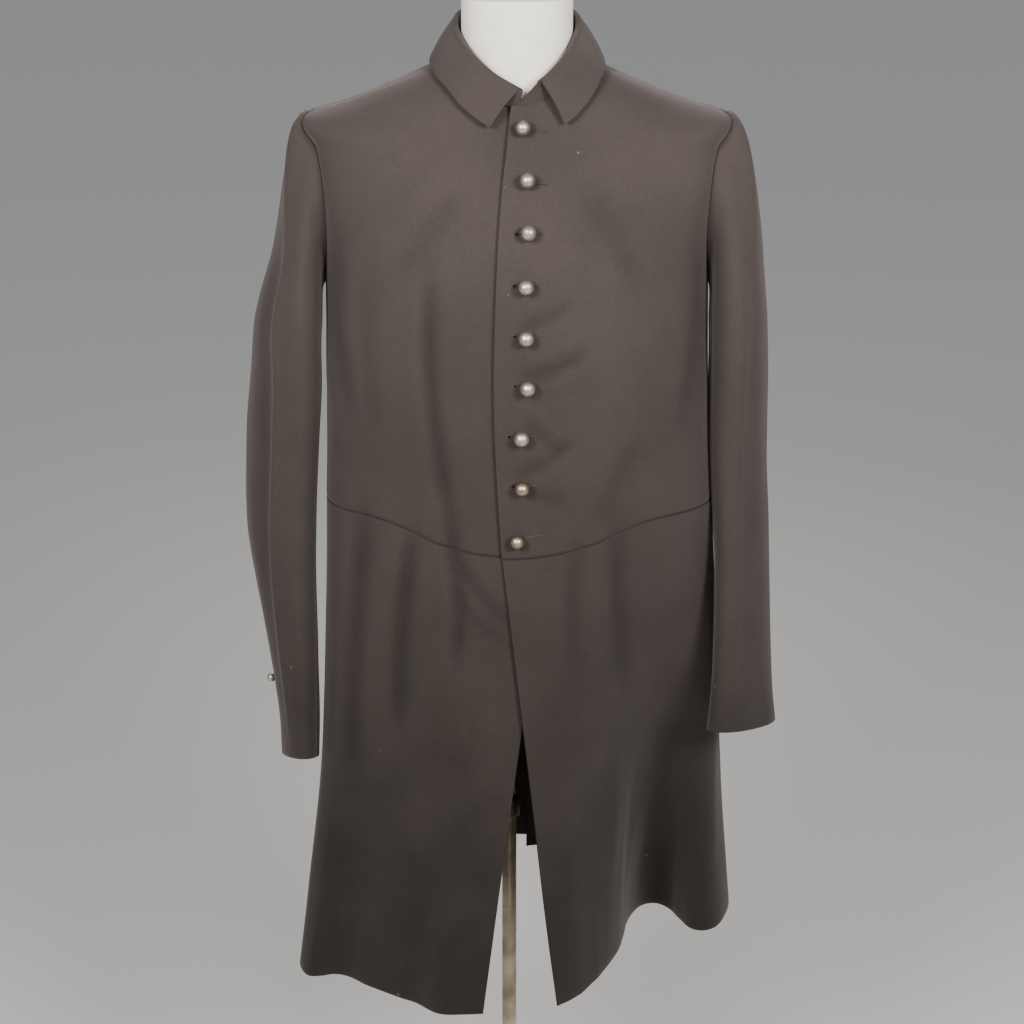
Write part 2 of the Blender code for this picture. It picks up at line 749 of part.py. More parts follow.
def collar_section(rows, angle):
    """Points from the fall's edge over the roll to the foot, and the wall's other side."""
    roll_x, roll_y, roll_z, edge_px, edge_py, edge_pz = read(rows, angle)
    base = body_point(angle, NECK_LEVEL)
    normal = body_normal(angle, NECK_LEVEL)
    up = (base - body_point(angle, NECK_LEVEL - 0.002)).normalized()
    foot = base + up * COLLAR_RAISE
    away = Vector((edge_px - roll_x, edge_py - roll_y, 0.0)).normalized()
    centre = Vector((roll_x, roll_y, roll_z - ROLL_RADIUS))
    edge = Vector((edge_px, edge_py, edge_pz))

    def round_roll(radius, degrees):
        radians = math.radians(degrees)
        return centre + away * radius * math.cos(radians) + Vector((0, 0, radius * math.sin(radians)))

    inner_radius = ROLL_RADIUS - WALL
    angles = (180.0, 140.0, 95.0, 50.0, 10.0)
    outside = [round_roll(ROLL_RADIUS, degrees) for degrees in angles]
    inside = [round_roll(inner_radius, degrees) for degrees in angles]
    stand = outside[0]
    fall = outside[-1]
    facing = (edge - fall).cross(away.cross(Vector((0, 0, 1)))).normalized()
    if facing.dot(away) < 0:
        facing = -facing
    belly = fall.lerp(edge, 0.5) + facing * 0.0016
    path = [foot - normal * WALL, (foot - normal * WALL).lerp(stand, 0.5)] + outside
    path += [belly, edge]
    other = [foot, foot.lerp(inside[0], 0.5)] + inside
    other += [belly - facing * WALL, edge - facing * WALL]
    return path[::-1], other[::-1]


def make_collar(parent):
    outer = []
    inner = []
    right = steps(COLLAR_RIGHT[0][0], 180.0, COLLAR_STEPS)
    left = steps(180.0, COLLAR_LEFT[0][0], COLLAR_STEPS - 1)[1:]
    for angle in right:
        path, other = collar_section(COLLAR_RIGHT, angle)
        outer.append([Vector((-p.x, p.y, p.z)) for p in path])
        inner.append([Vector((-p.x, p.y, p.z)) for p in other])
    for angle in left:
        path, other = collar_section(COLLAR_LEFT, angle)
        outer.append(path)
        inner.append(other)
    shell("collar", outer, inner, parent)


def turned(name, profile, parent, sides, colour, roughness, metallic=0.0):
    """A solid of revolution round Z from a profile that runs down its outer side."""
    mesh = bpy.data.meshes.new(name)
    edges = [(i, i + 1) for i in range(len(profile) - 1)]
    mesh.from_pydata([(radius, 0.0, height) for radius, height in profile], edges, [])
    made = bpy.data.objects.new(name, mesh)
    screw = made.modifiers.new("Turn", "SCREW")
    screw.steps = sides
    screw.render_steps = sides
    screw.use_merge_vertices = True
    screw.merge_threshold = 0.0001
    screw.use_smooth_shade = True
    return finish(made, parent, colour, roughness, metallic)


def button_profile(radius):
    """A ball with a short shank, from its crown down to the cloth."""
    profile = [
        (radius * math.sin(math.radians(a)), radius * math.cos(math.radians(a)))
        for a in (0, 30, 58, 86, 114, 142)
    ]
    shank = 0.34 * radius
    foot = -1.22 * radius
    return profile + [(shank, -0.93 * radius), (shank, foot), (0.0, foot)]


def make_button(name, radius, spot, normal, parent, colour, gap=BUTTON_GAP):
    made = turned(name, button_profile(radius), parent, 14, colour, 0.35, 1.0)
    made.rotation_euler = normal.to_track_quat("Z", "Y").to_euler()
    made.location = spot + normal * (1.22 * radius + gap)


def front_spot(x, height):
    """Point and normal on the front at this x and height."""
    level = height
    for _ in range(20):
        angle = front_angle(x, level)
        level += height - body_point(angle, level).z
    return body_point(angle, level), body_normal(angle, level)


def make_form(parent):
    """The closed torso and neck, flat under the hips and over the neck."""
    angles = [360.0 * k / FORM_SIDES for k in range(FORM_SIDES)]
    points = [ring_point(FORM, angle, level) for level in FORM_LEVELS for angle in angles]
    faces = [tuple(range(FORM_SIDES))[::-1]]
    for i in range(len(FORM_LEVELS) - 1):
        for k in range(FORM_SIDES):
            after = (k + 1) % FORM_SIDES
            low = i * FORM_SIDES
            high = low + FORM_SIDES
            faces.append((low + k, low + after, high + after, high + k))
    top = (len(FORM_LEVELS) - 1) * FORM_SIDES
    faces.append(tuple(range(top, top + FORM_SIDES)))
    mesh = bpy.data.meshes.new("dress_form")
    mesh.from_pydata([tuple(p) for p in points], [], faces)
    mesh.shade_smooth()
    mesh.set_sharp_from_angle(angle=math.radians(50))
    finish(bpy.data.objects.new("dress_form", mesh), parent, IVORY, 0.6)


def make_stand(parent):
    turned("base", BASE_PROFILE, parent, 48, BROWN, 0.45)
    form_bottom = FORM_LEVELS[0]
    tubes = (
        ("lower_pole", POLE_RADIUS, 0.0443, RING_BOTTOM - 0.0003, TAN),
        ("pole_ring", RING_RADIUS, RING_BOTTOM, RING_TOP, BROWN),
        ("upper_pole", UPPER_POLE_RADIUS, RING_TOP + 0.0003, form_bottom - 0.0003, BROWN),
    )
    for name, radius, low, high, colour in tubes:
        soft = 0.0008
        profile = [(0.0, high), (radius - soft, high), (radius, high - soft),
                   (radius, low + soft), (radius - soft, low), (0.0, low)]
        turned(name, profile, parent, 28, colour, 0.4)


def main():
    for made in list(bpy.data.objects):
        bpy.data.objects.remove(made)
    collection = bpy.data.collections.new("frock_coat")
    bpy.context.scene.collection.children.link(collection)
    stand = bpy.data.objects.new("stand_origin", None)
    coat = bpy.data.objects.new("coat_origin", None)
    coat.location.x = COAT_X
    coat.parent = stand
    collection.objects.link(stand)
    collection.objects.link(coat)

    make_stand(stand)
    make_form(coat)

    left_front = make_front("front_left", False, coat)
    right_front = make_front("front_right", True, coat)
    left_side = make_side_body("side_body_left", coat, False)
    right_side = make_side_body("side_body_right", coat, True)
    make_back("back_left", TAIL_LEFT, coat, False)
    make_back("back_right", TAIL_RIGHT, coat, True)
    make_skirt("skirt_left", *waist_line(left_front, left_side), HEM_LEFT, False, coat)
    make_skirt("skirt_right", *waist_line(right_front, right_side), HEM_RIGHT, True, coat)

    for side, sections, mirrored in (
        ("left", SLEEVE_LEFT, False),
        ("right", SLEEVE_RIGHT, True),
    ):
        spot, normal = make_sleeve(side, sections, coat, mirrored)
        if mirrored:
            spot.x = -spot.x
            normal.x = -normal.x
        make_button(f"cuff_button_{side}", CUFF_BUTTON_RADIUS, spot, normal, coat, PEWTER)

    make_collar(coat)
    for number, (x, height, radius) in enumerate(BUTTONS, 1):
        spot, normal = front_spot(x, height)
        colour = PEWTER if number < 8 else BRONZE
        gap = TOP_BUTTON_GAP if number == 1 else BUTTON_GAP
        make_button(f"button_{number}", radius, spot, normal, coat, colour, gap)


if __name__ == "__main__":
    main()
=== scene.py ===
"""Frock coat on a limbless dress form: every piece of cloth, button and stand, with the stage.

The coat's own frame has Z up, X to the wearer's left and the buttons at -Y. The coat and the
form stand a little to one side of the pole.
"""

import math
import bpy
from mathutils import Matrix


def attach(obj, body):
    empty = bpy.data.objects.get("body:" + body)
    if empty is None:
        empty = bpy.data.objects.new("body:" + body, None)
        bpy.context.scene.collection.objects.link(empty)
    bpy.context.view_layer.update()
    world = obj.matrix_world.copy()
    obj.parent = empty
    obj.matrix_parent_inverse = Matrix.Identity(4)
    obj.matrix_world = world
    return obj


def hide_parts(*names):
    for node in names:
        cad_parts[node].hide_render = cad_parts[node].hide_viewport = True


bl_info = {
    "name": "Frock Coat",
    "version": (1, 0, 0),
    "blender": (4, 5, 0),
    "location": "View3D > Sidebar > Frock Coat",
    "description": "Builds a frock coat on a dress form",
    "category": "Object",
}

import bmesh
import bpy
from mathutils import Matrix, Vector, noise

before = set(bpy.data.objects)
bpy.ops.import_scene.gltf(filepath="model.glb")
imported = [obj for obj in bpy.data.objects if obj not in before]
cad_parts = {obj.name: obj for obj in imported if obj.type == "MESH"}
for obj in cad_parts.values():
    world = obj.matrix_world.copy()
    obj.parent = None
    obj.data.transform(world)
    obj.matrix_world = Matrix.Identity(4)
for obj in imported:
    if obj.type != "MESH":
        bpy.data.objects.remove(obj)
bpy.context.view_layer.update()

COAT_X = 0.008

# The camera stands where the photograph was taken from.
CAMERA_PLACE = (COAT_X - 0.005, -2.40, 1.687)
CAMERA_TURN = (math.radians(73.0), 0.0, 0.0)
SENSOR_WIDTH = 36.0
FOCAL_LENGTH = 84.375
FLOOR_HALF_SIZE = 30.0
FLOOR_LEVEL = -0.0005
BODY_POWER = 2.4

# Rings of the coat's body, by their height at the side seam
# level, front rise, back rise, half width, front depth, back depth
BODY = (
    (0.940, 0.000, 0.000, 0.1990, 0.137, 0.120),
    (1.020, 0.000, 0.000, 0.1960, 0.137, 0.120),
    (1.100, 0.000, 0.000, 0.1945, 0.139, 0.124),
    (1.180, 0.000, 0.000, 0.1935, 0.140, 0.130),
    (1.250, 0.000, 0.000, 0.1930, 0.134, 0.133),
    (1.300, -0.010, 0.002, 0.1970, 0.121, 0.128),
    (1.340, -0.021, 0.004, 0.2030, 0.106, 0.118),
    (1.367, -0.030, 0.005, 0.2120, 0.094, 0.107),
    (1.385, -0.033, 0.008, 0.1600, 0.085, 0.098),
    (1.405, -0.036, 0.012, 0.1080, 0.078, 0.088),
    (1.424, -0.039, 0.016, 0.0670, 0.073, 0.076),
)
NECK_LEVEL = 1.424
SHOULDER_LEVEL = 1.3715

# Rings of the dress form, with the same columns
FORM = (
    (0.880, 0.000, 0.000, 0.1480, 0.0980, 0.0930),
    (0.920, 0.000, 0.000, 0.1700, 0.1130, 0.1050),
    (0.960, 0.000, 0.000, 0.1850, 0.1240, 0.1120),
    (1.020, 0.000, 0.000, 0.1890, 0.1300, 0.1130),
    (1.100, 0.000, 0.000, 0.1875, 0.1310, 0.1170),
    (1.180, 0.000, 0.000, 0.1865, 0.1320, 0.1230),
    (1.250, 0.000, 0.000, 0.1860, 0.1260, 0.1260),
    (1.300, -0.010, 0.002, 0.1900, 0.1130, 0.1210),
    (1.340, -0.023, 0.004, 0.1960, 0.0940, 0.1110),
    (1.367, -0.033, 0.005, 0.2020, 0.0820, 0.1000),
    (1.385, -0.036, 0.008, 0.1520, 0.0730, 0.0910),
    (1.405, -0.038, 0.012, 0.0960, 0.0660, 0.0790),
    (1.424, -0.034, 0.013, 0.0590, 0.0605, 0.0660),
    (1.440, -0.015, 0.006, 0.0555, 0.0560, 0.0590),
    (1.458, -0.003, 0.001, 0.0550, 0.0540, 0.0550),
    (1.482, 0.000, 0.000, 0.0550, 0.0540, 0.0540),
)

# Waist seam: angle round the body from the front, level
WAIST = (
    (-20.0, 0.948),
    (0.0, 0.946),
    (15.0, 0.950),
    (27.0, 0.957),
    (38.0, 0.968),
    (48.0, 0.978),
    (60.0, 0.981),
    (90.0, 0.978),
    (160.0, 0.985),
    (180.0, 0.985),
)
SIDE_SEAM = 82.0
TAIL_SEAM = 159.0
TAIL_WAIST = 0.985
SKIRT_END = 166.0

# Edge of the overlapping left front: level, x
FRONT_EDGE = (
    (0.946, -0.0150),
    (1.020, -0.0195),
    (1.090, -0.0224),
    (1.170, -0.0219),
    (1.310, -0.0155),
    (1.424, -0.0060),
)
LAP_END_X = 0.030
LAP_INSET = 0.0036
NECK_LAP_INSET = 0.0012
LAP_FADE = 0.024

# Curved seam of the back, from the waist to the armhole: step, level, angle
BACK_SEAM = (
    (0.0, 0.985, 159.0),
    (1.0, 1.040, 157.5),
    (2.0, 1.100, 152.0),
    (3.0, 1.150, 144.0),
    (4.0, 1.195, 133.0),
    (5.0, 1.228, 120.5),
    (6.0, 1.2518, 108.0),
)

# Armhole: an oval in angle and level. Its turn runs from the top, forwards and down.
ARMHOLE_LEVEL = 1.285
ARMHOLE_HALF_HEIGHT = 0.0865
ARMHOLE_FRONT_ANGLE = 12.5
ARMHOLE_BACK_ANGLE = 19.5
TURN_AT_SIDE_SEAM = 140.2
TURN_AT_BACK_SEAM = 247.4
TURN_AT_HIND_SEAM = 317.8
NECK_CORNER = 75.0

# How far up each panel its edges turn, in steps from the waist
SEAM_END = 6.0
FRONT_ARM_END = 16.0
FRONT_TOP = 19.0
FRONT_NECK = 13.0
BACK_ARM_END = 14.0
BACK_TOP = 17.0
BACK_NECK = 11.0
TAIL_STEPS = 7.0

# Plans of the skirts' hems, from the front edge round to the pleat under the tail, with x
# outwards: x, y
HEM_LEFT = (
    (0.0425, -0.1545),
    (0.0668, -0.1300),
    (0.0940, -0.0760),
    (0.1130, -0.0250),
    (0.1225, 0.0310),
    (0.1365, 0.0680),
    (0.1550, 0.0790),
    (0.1714, 0.0660),
    (0.1808, 0.0400),
    (0.1915, 0.0150),
    (0.2070, 0.0070),
    (0.2230, 0.0180),
    (0.2360, 0.0515),
    (0.2415, 0.0893),
    (0.2380, 0.1400),
    (0.2100, 0.1850),
    (0.1600, 0.2120),
    (0.1000, 0.2160),
    (0.0640, 0.2080),
)
HEM_RIGHT = (
    (0.0350, -0.1712),
    (0.0798, -0.1720),
    (0.1064, -0.1475),
    (0.1280, -0.1345),
    (0.1552, -0.1150),
    (0.1778, -0.0935),
    (0.1943, -0.0885),
    (0.2098, -0.0935),
    (0.2250, -0.0910),
    (0.2345, -0.0600),
    (0.2240, -0.0100),
    (0.2110, 0.0300),
    (0.2180, 0.0750),
    (0.2280, 0.1200),
    (0.2070, 0.1750),
    (0.1600, 0.2120),
    (0.1000, 0.2260),
    (0.0640, 0.2230),
)
HEM_FRONT_Z = 0.461
HEM_BACK_Z = 0.470

# Plan of each tail's hem, from the centre back outwards, with x outwards: x, y
TAIL_LEFT = (
    (0.0117, 0.2220),
    (0.0500, 0.2290),
    (0.0970, 0.2300),
)
TAIL_RIGHT = (
    (-0.0350, 0.2520),
    (0.0300, 0.2560),
    (0.0970, 0.2400),
)

# Sections of each sleeve, with x outwards
# height, centre x, centre y, half width, half depth, turn, tilt
SLEEVE_RIGHT = (
    (0.697, 0.2293, -0.0380, 0.0190, 0.0520, 10.0, 0.28),
    (0.743, 0.2297, -0.0320, 0.0209, 0.0550, 10.0, 0.22),
    (0.810, 0.2353, -0.0200, 0.0248, 0.0580, 14.0, 0.16),
    (0.900, 0.2450, -0.0030, 0.0299, 0.0635, 22.0, 0.10),
    (0.945, 0.2470, 0.0060, 0.0315, 0.0660, 25.0, 0.07),
    (1.035, 0.2439, 0.0110, 0.0316, 0.0700, 25.0, 0.03),
    (1.100, 0.2384, 0.0060, 0.0316, 0.0725, 22.0, 0.00),
    (1.160, 0.2335, 0.0000, 0.0310, 0.0745, 17.0, 0.00),
    (1.220, 0.2192, 0.0000, 0.0290, 0.0740, 12.0, 0.00),
)
SLEEVE_LEFT = (
    (0.736, 0.2361, -0.0520, 0.0260, 0.0560, 35.0, 0.20),
    (0.765, 0.2363, -0.0450, 0.0245, 0.0565, 31.0, 0.16),
    (0.810, 0.2369, -0.0330, 0.0242, 0.0580, 26.0, 0.12),
    (0.900, 0.2360, -0.0120, 0.0246, 0.0630, 20.0, 0.06),
    (0.960, 0.2330, -0.0020, 0.0265, 0.0660, 17.0, 0.03),
    (1.020, 0.2296, 0.0040, 0.0283, 0.0690, 15.0, 0.00),
    (1.100, 0.2277, 0.0040, 0.0295, 0.0725, 12.0, 0.00),
    (1.160, 0.2255, 0.0000, 0.0290, 0.0745, 10.0, 0.00),
    (1.220, 0.2206, 0.0000, 0.0290, 0.0740, 8.0, 0.00),
)
# Level at which the sleeve's underside leaves the armhole
UNDERARM_LEVEL = 1.160

# Collar sections, by their angle round the neckline, with x outwards
# angle, roll x, roll y, roll z, edge x, edge y, edge z
COLLAR_BACK = (
    (88.0, 0.0605, 0.0000, 1.4580, 0.0870, 0.0020, 1.4210),
    (120.0, 0.0560, 0.0320, 1.4670, 0.0800, 0.0450, 1.4240),
    (150.0, 0.0335, 0.0580, 1.4745, 0.0470, 0.0810, 1.4290),
    (180.0, 0.0000, 0.0690, 1.4780, 0.0000, 0.0950, 1.4320),
)
COLLAR_RIGHT = (
    (-1.5, -0.0027, -0.0800, 1.4030, 0.0265, -0.0900, 1.3665),
    (10.0, 0.0117, -0.0785, 1.4105, 0.0390, -0.0870, 1.3745),
    (22.0, 0.0252, -0.0730, 1.4185, 0.0530, -0.0800, 1.3850),
    (37.0, 0.0408, -0.0590, 1.4310, 0.0680, -0.0640, 1.4010),
    (56.0, 0.0525, -0.0380, 1.4430, 0.0800, -0.0420, 1.4110),
) + COLLAR_BACK
COLLAR_LEFT = (
    (15.6, 0.0218, -0.0790, 1.4105, 0.0458, -0.0880, 1.3690),
    (26.0, 0.0300, -0.0735, 1.4165, 0.0570, -0.0840, 1.3775),
    (40.0, 0.0415, -0.0600, 1.4270, 0.0715, -0.0700, 1.3930),
    (58.0, 0.0525, -0.0400, 1.4400, 0.0830, -0.0460, 1.4110),
) + COLLAR_BACK
ROLL_RADIUS = 0.0032
CORNER_RADIUS = 0.0032
GROOVE_WIDTH = 0.0011
# Painted shade along the seams: how far from a seam it reaches, how strongly it darkens and its colour.
SHADE_WIDTH = 0.0016
SEAM_SHADE_STRENGTH = 0.75
SEAM_SHADE_COLOUR = (0.004, 0.003, 0.003, 1.0)
# Painted shade down in the folds: how much darker per metre of depth, and the most it may be.
FOLD_SHADE = 135.0
FOLD_SHADE_MOST = 0.5
# The armhole's upper half is pressed flat, so its seam is only this share as deep.
SOFT_SEAM = 0.2
# Share of the front's width over which its free edge curls up
LIP_SHARE = 0.035
COLLAR_PER_DEGREE = 0.0011
STAND_LEAN = 16.0

# Front buttons: x, height, radius
BUTTONS = (
    (0.0056, 1.3627, 0.0077),
    (0.0098, 1.3150, 0.0077),
    (0.0107, 1.2700, 0.0077),
    (0.0083, 1.2213, 0.0077),
    (0.0086, 1.1724, 0.0077),
    (0.0101, 1.1233, 0.0077),
    (0.0043, 1.0726, 0.0077),
    (0.0049, 1.0214, 0.0073),
    (0.0000, 0.9665, 0.0070),
)
# Their buttonholes: how far the ends reach past the button's centre in x, and the slope.
# Where the coat pulls on the eyelet end, that end shows beside the button.
BUTTONHOLES = (
    (-0.003, 0.0245, -0.08),
    (-0.003, 0.0195, -0.03),
    (-0.0135, 0.0140, -0.02),
    (-0.0135, 0.0130, -0.02),
    (-0.0135, 0.0130, 0.00),
    (-0.0145, 0.0140, 0.00),
    (-0.0145, 0.0135, 0.03),
    (-0.0115, 0.0140, 0.03),
    (-0.004, 0.0240, 0.18),
)
BRONZE_FROM = 8
# A button's middle, shank top and shank radius, as shares of the ball's radius
BALL_MIDDLE = 1.20
SHANK_TOP = 0.4
SHANK_WIDTH = 0.36
BUTTON_CLEARANCE = 0.0002
DIMPLE_RADIUS = 0.0095
CUFF_BUTTON_RADIUS = 0.0047
# How far above the cuff's middle, and how far round from the front
CUFF_BUTTONS = {"left": (0.066, 190.0), "right": (0.077, 126.0)}

# Folds of the coat's front and skirts, in x and height of the coat's frame
# start x, start height, end x, end height, bow, half width, depth
FRONT_FOLDS = (
    (0.014, 1.134, 0.062, 1.152, 0.003, 0.0070, 0.0034),
    (0.012, 1.084, 0.040, 1.060, 0.002, 0.0070, 0.0026),
    (0.006, 1.036, 0.050, 1.062, 0.003, 0.0070, 0.0030),
    (0.006, 1.016, 0.046, 1.006, 0.002, 0.0070, 0.0022),
    (0.012, 1.184, 0.048, 1.200, 0.002, 0.0070, 0.0022),
    (-0.086, 1.200, -0.068, 0.995, 0.006, 0.0085, 0.0038),
    (-0.150, 1.200, -0.140, 1.080, 0.003, 0.0100, 0.0018),
    (-0.108, 0.950, -0.122, 0.780, 0.003, 0.0100, 0.0048),
    (-0.066, 0.965, -0.060, 0.850, -0.004, 0.0085, 0.0040),
    (-0.156, 0.960, -0.172, 0.720, 0.002, 0.0120, 0.0040),
    (-0.052, 0.935, -0.018, 0.885, 0.002, 0.0075, 0.0026),
    (-0.058, 0.905, -0.022, 0.862, 0.002, 0.0075, 0.0022),
    (0.100, 0.955, 0.112, 0.800, 0.003, 0.0110, 0.0034),
    (0.060, 0.950, 0.058, 0.840, 0.003, 0.0110, 0.0022),
    (-0.178, 1.240, -0.170, 1.100, 0.004, 0.0110, 0.0030),
    (0.178, 1.240, 0.168, 1.090, -0.004, 0.0110, 0.0030),
    (0.120, 1.060, 0.085, 0.990, 0.003, 0.0120, 0.0018),
    (-0.060, 1.300, -0.110, 1.230, 0.004, 0.0150, 0.0016),
    (0.070, 1.300, 0.115, 1.225, -0.004, 0.0150, 0.0016),
)
# The padded chest fills the front out ahead of the armholes.
CHEST_ANGLE = 74.0
CHEST_SPREAD = 13.0
CHEST_LEVEL = 1.310
CHEST_REACH = 0.055
CHEST_FULLNESS = 0.012
# The wearer's left side stands out further than the other one below the arm.
HIP_LEVEL = 0.88
HIP_REACH = 0.17
HIP_FULLNESS = 0.0060
# Darts, the same columns
DARTS = (
    (-0.1020, 1.060, -0.1190, 0.985, 0.002, 0.0016, 0.0008),
    (0.1060, 1.060, 0.1230, 0.985, -0.002, 0.0016, 0.0008),
)


def hermite(start, leaving, end, arriving, s):
    """A point between two ends, from the slopes at both."""
    return (
        start * (2 * s**3 - 3 * s**2 + 1)
        + leaving * (s**3 - 2 * s**2 + s)
        + end * (3 * s**2 - 2 * s**3)
        + arriving * (s**3 - s**2)
    )


def read(rows, key):
    """The columns after the first, on a smooth curve through the rows."""
    last = len(rows) - 2
    i = min(max(sum(row[0] <= key for row in rows) - 1, 0), last)
    a = rows[i]
    b = rows[i + 1]
    before = rows[max(i - 1, 0)]
    after = rows[min(i + 2, last + 1)]
    span = b[0] - a[0]
    place = (key - a[0]) / span
    values = []
    for c in range(1, len(a)):
        leaving = (b[c] - before[c]) / (b[0] - before[0]) * span
        arriving = (after[c] - a[c]) / (after[0] - a[0]) * span
        values.append(hermite(a[c], leaving, b[c], arriving, place))
    return values


def ease(s):
    """A soft step from 0 to 1."""
    s = min(max(s, 0.0), 1.0)
    return s * s * (3 - 2 * s)


def mix(a, b, share):
    return a + (b - a) * share


def ring_point(rings, angle, level):
    """A point on a body whose rings are wider than deep, with soft corners."""
    front_rise, back_rise, half_width, front, back = read(rings, level)
    sine = math.sin(math.radians(angle))
    cosine = math.cos(math.radians(angle))
    depth = front if cosine > 0 else back
    rise = front_rise if cosine > 0 else back_rise
    across = (abs(sine) / half_width) ** BODY_POWER
    along = (abs(cosine) / depth) ** BODY_POWER
    radius = (across + along) ** (-1 / BODY_POWER)
    return Vector((radius * sine, -radius * cosine, level + rise * cosine**2))


def body_point(key):
    angle, level = key
    point = ring_point(BODY, angle, level)
    nearness = ((angle - CHEST_ANGLE) / CHEST_SPREAD) ** 2
    nearness += ((level - CHEST_LEVEL) / CHEST_REACH) ** 2
    point.y -= CHEST_FULLNESS * math.exp(-nearness)
    return point


def body_normal(key):
    angle, level = key
    around = body_point((angle + 2, level)) - body_point((angle - 2, level))
    top = min(level + 0.012, NECK_LEVEL)
    up = body_point((angle, top)) - body_point((angle, top - 0.024))
    return around.cross(up).normalized()


def waist_level(angle):
    return read(WAIST, angle)[0]


def front_angle(x, level):
    """The angle at which the body's front passes this x."""
    return math.degrees(math.atan2(x, read(BODY, level)[3]))


def edge_x(level):
    return read(FRONT_EDGE, level)[0]


def armhole(turn):
    radians = math.radians(turn)
    across = math.sin(radians)
    angle = 90 - (ARMHOLE_FRONT_ANGLE if across > 0 else ARMHOLE_BACK_ANGLE) * across
    return angle, ARMHOLE_LEVEL + ARMHOLE_HALF_HEIGHT * math.cos(radians)


def shoulder(share):
    return 90.0, mix(SHOULDER_LEVEL, NECK_LEVEL, share)


def side_seam(share):
    return SIDE_SEAM, mix(waist_level(SIDE_SEAM), armhole(TURN_AT_SIDE_SEAM)[1], share)


def back_seam(step):
    level, angle = read(BACK_SEAM, step)
    return angle, level


def between(start, end, share):
    return mix(start[0], end[0], share), mix(start[1], end[1], share)


def front_key(under, u, step):
    """Angle and level on a front, from its front edge to its side, at a step above the waist."""
    level = mix(waist_level(0.0), NECK_LEVEL, min(step / FRONT_NECK, 1.0))
    start = front_angle(-LAP_END_X if under else edge_x(level), level), level
    if step > FRONT_NECK:
        start = between(start, (NECK_CORNER, NECK_LEVEL), (step - FRONT_NECK) / (FRONT_TOP - FRONT_NECK))
    if step <= SEAM_END:
        end = side_seam(step / SEAM_END)
    elif step <= FRONT_ARM_END:
        end = armhole(TURN_AT_SIDE_SEAM * (FRONT_ARM_END - step) / (FRONT_ARM_END - SEAM_END))
    else:
        end = shoulder((step - FRONT_ARM_END) / (FRONT_TOP - FRONT_ARM_END))
    angle, level = between(start, end, u)
    straight = mix(waist_level(0.0), waist_level(SIDE_SEAM), u)
    return angle, level + (waist_level(angle) - straight) * max(0.0, 1 - step / 5)


def front_place(under, u, step):
    """The same as a point, with the right front dropped in under the left one's edge."""
    key = front_key(under, u, step)
    point = body_point(key)
    if not under:
        return point
    inset = LAP_INSET + NECK_LAP_INSET * ease((key[1] - 1.3) / 0.08)
    beyond = point.x + edge_x(key[1]) - 0.002
    inset *= 1 - ease(beyond / LAP_FADE)
    return point - body_normal(key) * inset if inset > 0 else point


def side_key(u, step):
    start = side_seam(step / SEAM_END)
    end = back_seam(step)
    angle, level = between(start, end, u)
    top = armhole(mix(TURN_AT_SIDE_SEAM, TURN_AT_BACK_SEAM, u))
    last = between(side_seam(1.0), back_seam(SEAM_END), u)
    weight = (step / SEAM_END) ** 2
    angle += (top[0] - last[0]) * weight
    level += (top[1] - last[1]) * weight
    straight = mix(waist_level(SIDE_SEAM), waist_level(TAIL_SEAM), u)
    return angle, level + (waist_level(angle) - straight) * max(0.0, 1 - step)


def back_key(u, step):
    """Angle and level on a back above the waist, from its side to the centre."""
    centre = 180.0, mix(TAIL_WAIST, NECK_LEVEL, min(step / BACK_NECK, 1.0))
    if step > BACK_NECK:
        corner = 180.0 - NECK_CORNER, NECK_LEVEL
        centre = between(centre, corner, (step - BACK_NECK) / (BACK_TOP - BACK_NECK))
    if step <= SEAM_END:
        side = back_seam(step)
    elif step <= BACK_ARM_END:
        share = (step - SEAM_END) / (BACK_ARM_END - SEAM_END)
        side = armhole(mix(TURN_AT_BACK_SEAM, 360.0, share))
    else:
        side = shoulder((step - BACK_ARM_END) / (BACK_TOP - BACK_ARM_END))
    return between(side, centre, u)


def along_line(points, share):
    """A point at a share of a polyline's length."""
    lengths = [(b - a).length for a, b in zip(points, points[1:])]
    left = share * sum(lengths)
    for i, length in enumerate(lengths):
        if left <= length or i == len(lengths) - 1:
            return points[i].lerp(points[i + 1], min(left / length, 1.0))
        left -= length


def plan_curve(rows):
    """Fine points along a smooth curve through plan points."""
    keyed = [(float(i), x, y) for i, (x, y) in enumerate(rows)]
    count = 12 * (len(rows) - 1)
    return [Vector((*read(keyed, i / 12), 0.0)) for i in range(count + 1)]


def tail_place(hem, u, step):
    """A point on a tail, below the waist, where steps are negative."""
    share = 1 - u
    top = body_point(back_key(u, 0.0))
    drop = 1 - ((step + TAIL_STEPS) / TAIL_STEPS) ** 1.15
    end = along_line(hem, share)
    lap = hem[0].x * (1 - share) ** 2
    x = mix(top.x, end.x - lap, drop) + ease((drop - 0.17) / 0.3) * lap
    return Vector((x, mix(top.y, end.y, drop), mix(top.z, HEM_BACK_Z, drop)))


def waist_points(under):
    """The bodice's lower edge, then the stretch that lies under the tail."""
    points = [front_place(under, i / 60, 0.0) for i in range(61)]
    points += [body_point(side_key(i / 40, 0.0)) for i in range(1, 40)]
    end = SIDE_SEAM, TAIL_SEAM
    level = waist_level(end[1])
    tucked = 0.0036
    points.append(body_point((TAIL_SEAM, level)) - body_normal((TAIL_SEAM, level)) * tucked)
    for angle in (TAIL_SEAM + 3.5, SKIRT_END):
        points.append(body_point((angle, level)) - body_normal((angle, level)) * tucked)
    return points


def skirt_place(waist, hem, under, share, drop):
    top = along_line(waist, share)
    low = along_line(hem, share)
    bend = 1 + (1.4 * max(0.0, 1 - share / 0.18) if under else 0.0)
    low_z = mix(HEM_FRONT_Z, HEM_BACK_Z, ease(share))
    return Vector((
        mix(top.x, low.x, drop),
        top.y + (low.y - top.y) * drop**bend,
        mix(top.z, low_z, drop),
    ))


